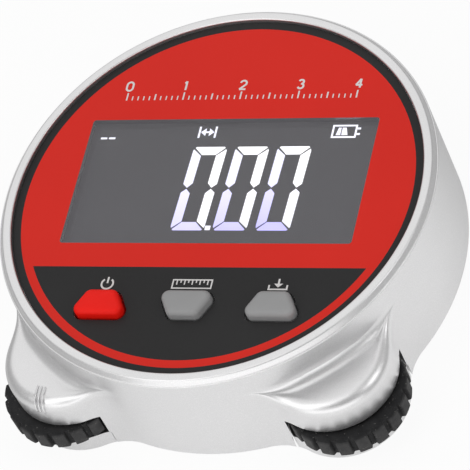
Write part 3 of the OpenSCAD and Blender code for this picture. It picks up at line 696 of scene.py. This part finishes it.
def soft_shoulder(turn):
    """Shoulder curve averaged over nearby turns, so that the shoulder's tips fade softly."""
    steps = range(-TIP_STEPS, TIP_STEPS + 1)
    curves = [shoulder_curve(abs(turn + TIP_SOFT * k / TIP_STEPS)) for k in steps]
    shares = [TIP_STEPS + 1 - abs(k) for k in steps]
    soft = []
    for points in zip(*curves):
        r = sum(share * point[0] for share, point in zip(shares, points)) / sum(shares)
        z = sum(share * point[1] for share, point in zip(shares, points)) / sum(shares)
        soft.append((r, z))
    middle = curves[TIP_STEPS]
    return [middle[0]] + soft[1:-1] + [middle[-1]]


def case_column(turn):
    """Points (radius, height) of the case's skin at one turn, from its foot to the label's recess."""
    column = []
    for k in range(FOOT_STEPS + 1):
        a = math.radians(90 / FOOT_STEPS * k)
        column.append((outline(turn, FOOT_R * (1 - math.sin(a))), FOOT_R * (1 - math.cos(a))))
    shoulder = soft_shoulder(turn)
    wall_top = shoulder[0][1]
    for k in range(1, WALL_STEPS):
        column.append((outline(turn, 0), FOOT_R + (wall_top - FOOT_R) * k / WALL_STEPS))
    column.extend(shoulder)
    rim_z = LABEL_Z + RIM_RISE
    column.extend(
        softened(
            [
                (CASE_R, LABEL_Z - RIM_FOOT, 0),
                (CASE_R, LABEL_Z, RIM_CUT),
                (CASE_R - LEDGE_W, LABEL_Z, LEDGE_CUT),
                (FACE_R + RIM_W, rim_z, SLOPE_CUT),
                (FACE_R + EDGE_C, rim_z, RIM_CUT),
                (FACE_R, rim_z - EDGE_C, RIM_CUT),
                (FACE_R, FLOOR_Z, 0),
            ]
        )
    )
    return column


def key_outline(x, y, flip, grow, count=8):
    """Plan points of a key's rounded trapezoid, wide edge down unless flipped, grown by a gap."""
    lean = (KEY_WIDE - KEY_SHORT) / 2
    side = math.hypot(KEY_H, lean)
    tilt = math.degrees(math.atan2(lean, KEY_H))
    low_x = KEY_WIDE / 2 + KEY_CORNER * (-lean - side) / KEY_H
    high_x = KEY_SHORT / 2 + KEY_CORNER * (lean - side) / KEY_H
    low_y = KEY_CORNER - KEY_H / 2
    r = KEY_CORNER + grow
    plan = (
        arc(low_x, low_y, r, -90, tilt, count)
        + arc(high_x, -low_y, r, tilt, 90, count)
        + arc(-high_x, -low_y, r, 90, 180 - tilt, count)
        + arc(-low_x, low_y, r, 180 - tilt, 270, count)
    )
    turn = -1 if flip else 1
    return [(x + turn * px, y + turn * py) for px, py in plan]


def window_outline(grow):
    """Plan points of the display window's outline, grown by a gap."""
    low, high = node_box("display_window")
    r = WINDOW_CORNER + grow
    return round_rectangle(low.x - grow, low.y - grow, high.x + grow, high.y + grow, r)


def case_cutters():
    """Hollows of the case: its cavity, the lobes, the wheel slots, the window's place and key holes."""
    below = -1.0
    deck_low = FLOOR_Z - DECK_T
    above = FLOOR_Z + 2.0
    cutters = [prism(circle(0, AXIS_Y, CASE_R - WALL_T, 180), below, deck_low)]
    for side in (-1, 1):
        lobe = circle(*lobe_place(side, LOBE_D), LOBE_R - LOBE_WALL, 120)
        slot = circle(*lobe_place(side, WHEEL_D), SLOT_R, 160)
        cutters.append(prism(lobe, below, LOBE_H - LOBE_ROOF))
        cutters.append(prism(slot, below, SLOT_TOP))
        seam = circle(*lobe_place(side, WHEEL_D), SLOT_R + SEAM_W, 160)
        cutters.append(prism(seam, below, TAB_H))
    cutters.append(prism(window_outline(INLAY_GAP), FILM_Z, above))
    low, high = node_box("display_window")
    ledge = WINDOW_LEDGE
    opening = rectangle(low.x + ledge, low.y + ledge, high.x - ledge, high.y - ledge)
    cutters.append(prism(opening, deck_low - 1, above))
    for node, flip in KEYS.items():
        middle = node_middle(node)
        cutters.append(prism(key_outline(middle.x, middle.y, flip, KEY_GAP), deck_low - 1, above))
    return cutters


def rib_skin(offset):
    """One index rib that runs over the left shoulder's rounded edge."""
    lobe_x, lobe_y = lobe_place(-1, LOBE_D)
    x = lobe_place(-1, WHEEL_D)[0] + offset
    steps = 22
    sides = 12
    rings = []
    for i in range(steps + 1):
        a = math.radians(RIB_START + (RIB_END - RIB_START) * i / steps)
        bend = min(a, math.pi / 2)
        inset = LOBE_EDGE * (1 - math.cos(bend))
        y = lobe_y - math.sqrt((LOBE_R - inset) ** 2 - (x - lobe_x) ** 2)
        if a > bend:
            y += RIB_RUN * math.degrees(a - bend)
        z = LOBE_H - LOBE_EDGE * (1 - math.sin(bend))
        out = Vector((0, -math.cos(bend), math.sin(bend)))
        taper = math.sin(math.pi * (i + 0.3) / (steps + 0.6)) ** 0.3
        ring = []
        for j in range(sides):
            b = 2 * math.pi * j / sides
            up = math.sin(b)
            lift = RIB_RISE * taper * math.sqrt(up) if up > 0 else RIB_ROOT * up
            ring.append(Vector((x - RIB_W / 2 * math.cos(b), y, z)) + out * lift)
        rings.append(ring)
    return loft(rings)


def cut_hollow(case):
    """Mesh of the case with its hollows taken out."""
    cutters = bpy.data.collections.new("case_cutters")
    bpy.context.scene.collection.children.link(cutters)
    for k, skin in enumerate(case_cutters()):
        cutter = bpy.data.objects.new(f"cutter_{k}", mesh_of(f"cutter_{k}", [skin]))
        cutters.objects.link(cutter)
    hollow = case.modifiers.new("hollow", "BOOLEAN")
    hollow.operation = "DIFFERENCE"
    hollow.operand_type = "COLLECTION"
    hollow.collection = cutters
    hollow.solver = "EXACT"
    bpy.context.view_layer.update()
    cut = bpy.data.meshes.new_from_object(case.evaluated_get(bpy.context.evaluated_depsgraph_get()))
    for cutter in list(cutters.objects):
        bpy.data.objects.remove(cutter)
    bpy.data.collections.remove(cutters)
    return cut


def build_case():
    """Front housing: the drum with its rim and the two wheel lobes, cut hollow, and the index ribs."""
    columns = []
    for k in range(COLUMNS):
        angle = 2 * math.pi * k / COLUMNS
        from_front = abs(math.remainder(angle, 2 * math.pi))
        columns.append((angle, case_column(abs(from_front - LOBE_A))))
    rings = []
    for row in range(len(columns[0][1])):
        ring = []
        for angle, column in columns:
            r, z = column[row]
            ring.append((r * math.sin(angle), AXIS_Y - r * math.cos(angle), z))
        rings.append(ring)
    solid = add_object("solid_case", mesh_of("solid_case", [loft(rings)]))
    shell = cut_hollow(solid)
    bpy.data.objects.remove(solid)
    shell.shade_smooth()
    shell.set_sharp_from_angle(angle=math.radians(CREASE))
    case = piece("housing_shell", shell, "case", MATERIALS["case_silver"])
    even_shading(case)
    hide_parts("front_housing")
    ribs = mesh_of("index_ribs", [rib_skin(k * RIB_PITCH) for k in (-1, 0, 1)], 60)
    piece("index_ribs", ribs, "case", MATERIALS["case_silver"])


# Keys


def build_key(node, slot):
    """Key with rounded edges and a crowned top, a flange that keeps it in and a stub for its switch."""
    low, high = node_box(node)
    middle = (low + high) / 2
    flip = KEYS[node]
    flange_z = low.z + KEY_STUB_L
    top = high.z - KEY_CROWN
    rings = []

    def ring(grow, z, scale=1.0):
        plan = key_outline(0, 0, flip, grow)
        rings.append([(middle.x + x * scale, middle.y + y * scale, z) for x, y in plan])

    ring(0, flange_z + KEY_FLANGE_T / 2)
    ring(0, LABEL_Z)
    ring(0, top - KEY_EDGE)
    for k in range(1, KEY_EDGE_STEPS + 1):
        a = math.pi / 2 * k / KEY_EDGE_STEPS
        lift = EDGE_CROWN * KEY_CROWN * k / KEY_EDGE_STEPS
        ring(-KEY_EDGE * (1 - math.cos(a)), top - KEY_EDGE * (1 - math.sin(a)) + lift)
    for k in range(1, KEY_CROWN_STEPS):
        share = k / KEY_CROWN_STEPS
        lift = KEY_CROWN * (EDGE_CROWN + (1 - EDGE_CROWN) * share * (2 - share))
        ring(-KEY_EDGE, top + lift, 1 - share)
    flange_plan = key_outline(middle.x, middle.y, flip, KEY_FLANGE_W)
    flange = prism(flange_plan, flange_z, flange_z + KEY_FLANGE_T)
    stub = prism(circle(middle.x, middle.y, KEY_STUB_R, 40), low.z, flange_z + KEY_FLANGE_T / 2)
    mesh = mesh_of(node + "_cap", [loft(rings), flange, stub], 50)
    cap = piece(node + "_cap", mesh, node + "_body", MATERIALS[slot])
    even_shading(cap)
    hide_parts(node)


# Wheels


def tread_places():
    """Places across one block and its groove, from the middle of a groove, in millimetres of the rim."""
    half = [0.0, 0.2, 0.31, 0.36, 0.41, 0.46, 0.51, 0.56, 0.62, 0.72, 0.95, 1.25]
    return half + [TREAD_PITCH / 2] + [TREAD_PITCH - at for at in half[:0:-1]]


def build_tyre(node, body):
    """Block-tread tyre: smooth flanks and rounded blocks with grooves between them."""
    low, high = node_box(node)
    middle = (low + high) / 2
    places = tread_places()
    profile = softened(
        [
            (HUB_R, low.z + BEAD_C, 0),
            (HUB_R + BEAD_C, low.z, BEAD_CUT),
            (TYRE_R - TREAD_EDGE, low.z, TREAD_CUT),
            (TYRE_R, low.z + TREAD_EDGE, TREAD_CUT),
            (TYRE_R, high.z - TREAD_EDGE, TREAD_CUT),
            (TYRE_R - TREAD_EDGE, high.z, TREAD_CUT),
            (HUB_R + BEAD_C, high.z, BEAD_CUT),
            (HUB_R, high.z - BEAD_C, 0),
        ]
    )
    finer = []
    for start, end in zip(profile, profile[1:]):
        parts = max(1, round((end - start).length / TYRE_ROW))
        finer.extend(start.lerp(end, k / parts) for k in range(parts))
    finer.append(profile[-1])
    half = TREAD_GROOVE / 2
    rings = []
    wear_and_sheen = []
    for r, z in finer:
        ring = []
        for block in range(TREAD_N):
            for at in places:
                a = 2 * math.pi * (block + at / TREAD_PITCH) / TREAD_N
                from_groove = min(at, TREAD_PITCH - at)
                stand = smooth_step(from_groove, half - TREAD_FLANK, half + TREAD_FLANK)
                reach = r - max(0.0, r - TREAD_R) * (1 - stand)
                ring.append((middle.x + reach * math.cos(a), middle.y + reach * math.sin(a), z))
                # Share of the paler tread colour on the block faces: partly scuffing, partly painted sheen
                # of the light on them
                wear_and_sheen.append(stand * smooth_step(r, TYRE_R - SCUFF_SHEEN_START, TYRE_R - SCUFF_SHEEN_FULL))
        rings.append(ring)
    mesh = mesh_of(node + "_tread", [loft(rings, loop=True)], 50)
    add_values(mesh, "wear_and_sheen", wear_and_sheen)
    tyre = piece(node + "_tread", mesh, body, MATERIALS["tyre_black"])
    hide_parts(node)


# Display


def segment_outlines():
    """Plan outlines of the strokes that show a zero, about a digit's middle, with their tints."""
    w, h, t, g = DIGIT_W / 2, DIGIT_H / 2, STROKE_W, STROKE_GAP / 2
    cut = 0.35
    top = [
        (-w + t + g, h - t),
        (w - t - g, h - t),
        (w - g - 0.5 * cut, h - 0.5 * cut),
        (w - g - cut, h),
        (-w + g + cut, h),
        (-w + g + 0.5 * cut, h - 0.5 * cut),
    ]
    upper_right = [
        (w - t, g + 0.55 * t),
        (w - 0.5 * t, g),
        (w, g + 0.45 * t),
        (w, h - cut - g - 0.3),
        (w - 0.3 * cut, h - cut - g),
        (w - t, h - t - 1.4 * g),
    ]
    bottom = [(x, -y) for x, y in reversed(top)]
    lower_right = [(x, -y) for x, y in reversed(upper_right)]
    upper_left = [(-x, y) for x, y in reversed(upper_right)]
    lower_left = [(x, -y) for x, y in reversed(upper_left)]
    return [
        (top, 0.0),
        (upper_right, 0.0),
        (lower_right, 0.1),
        (bottom, 0.85),
        (upper_left, 0.6),
        (lower_left, 0.8),
    ]


def display_marks():
    """Plan outlines of the display's signs: battery, decimal point, two dashes and a length arrow."""
    line = 0.3
    x0, y0, x1, y1 = 17.3, 10.75, 21.5, 13.3
    frame_line = (rectangle(x0, y0, x1, y1), rectangle(x0 + line, y0 + line, x1 - line, y1 - line))
    marks = [rectangle(-0.29, -7.17, 0.6, -6.35)]
    for y in (11.3, 12.4):
        marks.append(rectangle(x1 + 0.05, y, x1 + 0.6, y + 0.35))
    low, high = 11.3, 12.75
    marks.append([(x0 + 0.75, low), (x0 + 1.5, low), (x0 + 1.5, high), (x0 + 1.05, high)])
    marks.append([(x0 + 1.7, low), (x0 + 2.75, low), (x0 + 2.35, high), (x0 + 1.7, high)])
    for x in (-22.7, -21.25):
        marks.append(rectangle(x, 10.87, x + 1.1, 11.2))
    left, right, arrow_y, head = -5.5, -2.7, 12.1, 0.75
    for x in (left, right):
        marks.append(rectangle(x - 0.16, 11.0, x + 0.16, 13.2))
    marks.append(rectangle(left + 0.9, arrow_y - 0.15, right - 0.9, arrow_y + 0.15))
    marks.append([(left + 0.25, arrow_y), (left + 1.1, arrow_y - head), (left + 1.1, arrow_y + head)])
    marks.append([(right - 0.25, arrow_y), (right - 1.1, arrow_y + head), (right - 1.1, arrow_y - head)])
    return frame_line, marks


def under_window(plan):
    """Row frame places under the window for points seen on the face, measured from the drum axis."""
    return [(x + UNDER_WINDOW.x, y + UNDER_WINDOW.y + AXIS_Y) for x, y in plan]


def build_display():
    """Lit digits and signs on the film under the window."""
    high = FILM_Z + GLOW_T
    skins = []
    tints = []
    for digit in range(3):
        middle = DIGIT_FIRST + digit * DIGIT_PITCH
        for plan, tint in segment_outlines():
            leaned = [(middle + x + DIGIT_SLANT * y, DIGIT_Y + y) for x, y in plan]
            skins.append(prism(under_window(leaned), FILM_Z, high))
            shares = [(0.88 + 0.14 * digit) * (0.75 - 0.7 * y / DIGIT_H) for _, y in plan]
            tints.extend(2 * [min(1.0, tint * share) for share in shares])
    (outer, inner), marks = display_marks()
    signs = [band(under_window(outer), under_window(inner), FILM_Z, high)]
    signs.extend(prism(under_window(plan), FILM_Z, high) for plan in marks)
    for points, faces in signs:
        skins.append((points, faces))
        tints.extend([0.2] * len(points))
    mesh = mesh_of("display_digits", skins, 20)
    add_values(mesh, "tint", tints)
    piece("display_digits", mesh, "case", MATERIALS["lamp_white"])


def build_mask():
    """Grey mask that lines the window's place, so that the display fills the window to its edges."""
    low, high = node_box("polariser")
    hole = round_rectangle(
        low.x + MASK_LAP, low.y + MASK_LAP, high.x - MASK_LAP, high.y - MASK_LAP, WINDOW_CORNER
    )
    outer = window_outline(0.8 * INLAY_GAP)
    sheet = band(outer, hole, FILM_Z, FILM_Z + MASK_T)
    wall = band(outer, window_outline(0.3 * INLAY_GAP), FILM_Z + MASK_T / 2, LABEL_Z - MASK_T)
    mask = mesh_of("window_mask", [sheet, wall], 20)
    piece("window_mask", mask, "case", MATERIALS["display_film"])


# Printed signs on the label


def numeral(figure, x, y, height):
    """Pen strokes of a plain figure from 0 to 4, about a middle place."""
    width = 0.62 * height
    half = width / 2
    top = y + height / 2
    low = y - height / 2
    if figure == 0:
        r = half
        return [arc(x, top - r, r, 0, 180, 12) + arc(x, low + r, r, 180, 360, 12) + [(x + r, top - r)]]
    if figure == 1:
        return [[(x - 0.55 * half, top - 0.22 * height), (x, top)], [(x, top), (x, low)]]
    if figure == 2:
        r = 0.95 * half
        bow = arc(x, top - r, r, 170, -35, 12)
        return [bow + [(x - half, low)], [(x - half, low), (x + half, low)]]
    if figure == 3:
        r = 0.235 * height
        s = 0.275 * height
        return [arc(x, top - r, r, 160, -90, 12), arc(x, low + s, s, 90, -160, 12)]
    bar = y - 0.18 * height
    return [
        [(x + 0.35 * half, low), (x + 0.35 * half, top)],
        [(x + 0.35 * half, top), (x - half, bar)],
        [(x - half, bar), (x + half, bar)],
    ]


def scale_signs():
    """Ruler scale above the display: ticks, longer at every fifth, and plain figures over the tens."""
    plans = []
    first = -SCALE_TICKS / 2
    for k in range(SCALE_TICKS + 1):
        x = first + k
        long = 1.5 if k % 10 == 0 else 1.2 if k % 5 == 0 else 0.8
        half = 0.13 if k % 5 == 0 else 0.1
        plans.append(rectangle(x - half, SCALE_Y, x + half, SCALE_Y + long))
    for figure in range(SCALE_TICKS // 10 + 1):
        strokes = numeral(figure, first + 10 * figure, FIGURE_Y, FIGURE_H)
        plans.extend(stroke(path, FIGURE_LINE) for path in strokes)
    return plans


def key_signs():
    """Signs above the keys, a power ring, a ruler and a tray with an arrow, and the ruler's hollow frame."""
    plans = []
    hollow = []
    y = SIGN_Y
    power_x, unit_x, store_x = (node_middle(node).x for node in KEYS)
    gap = 38
    plans.append(stroke(arc(power_x, y - 0.05, 0.98, 90 + gap, 450 - gap, 28), SIGN_LINE))
    plans.append(rectangle(power_x - SIGN_LINE / 2, y + 0.05, power_x + SIGN_LINE / 2, y + 1.2))
    outer = rectangle(unit_x - 3.4, y - 0.9, unit_x + 3.4, y + 0.9)
    inner = rectangle(unit_x - 3.17, y - 0.67, unit_x + 3.17, y + 0.67)
    hollow.append((outer, inner))
    for k in range(-4, 5):
        x = unit_x + 0.65 * k
        tall = 0.8 if k % 2 == 0 else 0.45
        plans.append(rectangle(x - 0.1, y + 0.67 - tall, x + 0.1, y + 0.67))
    plans.append(rectangle(store_x - 1.65, y - 1.0, store_x + 1.65, y - 0.72))
    for x in (store_x - 1.5, store_x + 1.5):
        plans.append(rectangle(x - 0.14, y - 0.72, x + 0.14, y - 0.05))
    plans.append(rectangle(store_x - SIGN_LINE / 2, y + 0.15, store_x + SIGN_LINE / 2, y + 1.1))
    plans.append([(store_x, y - 0.5), (store_x + 0.75, y + 0.2), (store_x - 0.75, y + 0.2)])
    return plans, hollow


def build_print():
    """White ink on the face label."""

    def on_face(plan):
        return [(x, y + AXIS_Y) for x, y in plan]

    plans, hollow = key_signs()
    skins = [band(on_face(outer), on_face(inner), LABEL_Z, LABEL_Z + INK_T) for outer, inner in hollow]
    for k, plan in enumerate(scale_signs() + plans):
        coat = 1 + 0.1 * (1 + k % 3)
        skins.append(prism(on_face(plan), LABEL_Z, LABEL_Z + coat * INK_T))
    piece("printed_signs", mesh_of("printed_signs", skins, 20), "case", PRINT_WHITE)


# Studio, in millimetres but for the lamps and the floor's lit stretch, which are in metres

CAMERA_PLACE = Vector((193.64, -281.94, 419.78))
CAMERA_RIGHT = Vector((0.9321, 0.2075, -0.2968))
CAMERA_BACK = Vector((0.3621, -0.5278, 0.7683))
CAMERA_LENS = 253.1
FLOOR_HALF = 300
FLOOR_DROP = 0.1
FLOOR_GLOW = 0.92
BOUNCE_GLOW = 0.55
LIT_SIDE = (0.54, -0.84, 0.0)
LIT_FROM = -0.005
LIT_FULL = 0.027
SKY_LEVELS = [(0.0, 0.38), (0.2, 0.44), (0.5, 0.5), (1.0, 0.5)]
BRIGHT_CARD = (-0.34, 0.53, 0.777)
BRIGHT_LEVELS = [(0.0, 0.95), (1.0, 1.0)]
DARK_CARD = (0.36, -0.53, 0.77)
DARK_LEVELS = [(0.0, 0.3), (1.0, 0.35)]


def place_camera():
    """Long lens at the photograph's view of the face."""
    camera = bpy.data.objects.new("camera", bpy.data.cameras.new("camera"))
    bpy.context.scene.collection.objects.link(camera)
    back = CAMERA_BACK.normalized()
    right = (CAMERA_RIGHT - back * CAMERA_RIGHT.dot(back)).normalized()
    up = back.cross(right)
    turn = Matrix((right, up, back)).transposed().to_4x4()
    camera.matrix_world = Matrix.Translation(CAMERA_PLACE * MM) @ turn
    camera.data.sensor_width = 36
    camera.data.lens = CAMERA_LENS
    camera.data.clip_start = 0.01
    camera.data.clip_end = 20
    bpy.context.scene.camera = camera


def soft_lamp(name, at, width, height, watts):
    """Soft box at a place in metres that looks at the part."""
    data = bpy.data.lights.new(name, "AREA")
    data.shape = "RECTANGLE"
    data.size = width
    data.size_y = height
    data.energy = watts
    lamp = bpy.data.objects.new(name, data)
    bpy.context.scene.collection.objects.link(lamp)
    lamp.location = at
    lamp.rotation_euler = (-Vector(at)).to_track_quat("-Z", "Y").to_euler()


def seen_rays(tree):
    """Socket that is 1 for rays that show the backdrop itself, straight or through glass."""
    rays = tree.nodes.new("ShaderNodeLightPath")
    either = tree.nodes.new("ShaderNodeMath")
    either.operation = "MAXIMUM"
    tree.links.new(rays.outputs["Is Camera Ray"], either.inputs[0])
    tree.links.new(rays.outputs["Is Transmission Ray"], either.inputs[1])
    return either.outputs["Value"]


def mixed(tree, share, first, second):
    """Shader socket that goes from one shader to another by a fixed share or a socket."""
    made = tree.nodes.new("ShaderNodeMixShader")
    if isinstance(share, float):
        made.inputs["Fac"].default_value = share
    else:
        tree.links.new(share, made.inputs["Fac"])
    tree.links.new(first, made.inputs[1])
    tree.links.new(second, made.inputs[2])
    return made.outputs["Shader"]


def nearness(tree, vector, towards, start, end):
    """Socket that goes from 0 to 1 as a vector reaches further in one direction."""
    made = tree.nodes.new("ShaderNodeVectorMath")
    made.operation = "DOT_PRODUCT"
    tree.links.new(vector, made.inputs[0])
    made.inputs[1].default_value = towards
    return spread(tree, made.outputs["Value"], 0.0, 1.0, start, end)


def glow(tree, strength):
    """Shader socket of an even white glow."""
    made = tree.nodes.new("ShaderNodeEmission")
    made.inputs["Strength"].default_value = strength
    return made.outputs["Emission"]


def build_floor():
    """Pale floor that stays white to the camera, keeps a soft shadow and is clear from below."""
    corners = [(x, y, 0) for x, y in rectangle(-FLOOR_HALF, -FLOOR_HALF, FLOOR_HALF, FLOOR_HALF)]
    mesh = mesh_of("floor", [(corners, [(0, 1, 2, 3)])])
    floor = add_object("floor", mesh)
    floor.location.z = -FLOOR_DROP * MM
    material = bpy.data.materials.new("floor")
    material.use_nodes = True
    tree = material.node_tree
    tree.nodes.clear()
    matt = tree.nodes.new("ShaderNodeBsdfDiffuse")
    matt.inputs["Color"].default_value = (0.95, 0.95, 0.95, 1)
    shown = mixed(tree, FLOOR_GLOW, matt.outputs["BSDF"], glow(tree, 1.0))
    ahead = nearness(tree, place(tree), LIT_SIDE, LIT_FROM, LIT_FULL)
    level = greys(tree, ahead, [(0.0, 0.45), (1.0, 1.0)])
    sheen = tree.nodes.new("ShaderNodeEmission")
    tree.links.new(level, sheen.inputs["Color"])
    bounced = mixed(tree, BOUNCE_GLOW, matt.outputs["BSDF"], sheen.outputs["Emission"])
    upper = mixed(tree, seen_rays(tree), bounced, shown)
    clear = tree.nodes.new("ShaderNodeBsdfTransparent")
    underside = tree.nodes.new("ShaderNodeNewGeometry").outputs["Backfacing"]
    output = tree.nodes.new("ShaderNodeOutputMaterial")
    tree.links.new(mixed(tree, underside, upper, clear.outputs["BSDF"]), output.inputs["Surface"])
    mesh.materials.append(material)


def build_world():
    """White backdrop whose soft light has a bright card high at the back left and a dark one opposite."""
    world = bpy.data.worlds.new("studio")
    bpy.context.scene.world = world
    world.use_nodes = True
    tree = world.node_tree
    tree.nodes.clear()
    direction = tree.nodes.new("ShaderNodeTexCoord").outputs["Generated"]
    parts = tree.nodes.new("ShaderNodeSeparateXYZ")
    tree.links.new(direction, parts.inputs["Vector"])
    height = parts.outputs["Z"]
    sky = greys(tree, height, SKY_LEVELS)
    dark = greys(tree, height, DARK_LEVELS)
    sky = blend_colours(tree, nearness(tree, direction, DARK_CARD, 0.87, 0.95), sky, dark)
    bright = greys(tree, height, BRIGHT_LEVELS)
    lit = blend_colours(tree, nearness(tree, direction, BRIGHT_CARD, 0.84, 0.94), sky, bright)
    light = tree.nodes.new("ShaderNodeBackground")
    tree.links.new(lit, light.inputs["Color"])
    backdrop = tree.nodes.new("ShaderNodeBackground")
    backdrop.inputs["Color"].default_value = (1, 1, 1, 1)
    both = mixed(tree, seen_rays(tree), light.outputs["Background"], backdrop.outputs["Background"])
    output = tree.nodes.new("ShaderNodeOutputWorld")
    tree.links.new(both, output.inputs["Surface"])


def build_studio():
    """Camera, floor, backdrop and lamps."""
    place_camera()
    build_floor()
    build_world()
    soft_lamp("left_lamp", (-0.38, -0.52, 0.69), 0.42, 0.75, 1.25)
    soft_lamp("top_lamp", (-0.11, -0.16, 0.94), 0.4, 0.5, 0.6)
    soft_lamp("right_lamp", (0.68, 0.0, 0.66), 0.35, 0.45, 0.9)
    soft_lamp("front_lamp", (0.14, -0.88, 0.22), 1.8, 0.45, 2.5)
    bpy.context.scene.view_settings.view_transform = "Standard"


dress_cad_nodes()
build_case()
build_key("power_key", "key_red")
build_key("unit_key", "key_grey")
build_key("memory_key", "key_grey")
build_tyre("left_tyre", "left_wheel")
build_tyre("right_tyre", "right_wheel")
build_mask()
build_display()
build_print()
build_studio()
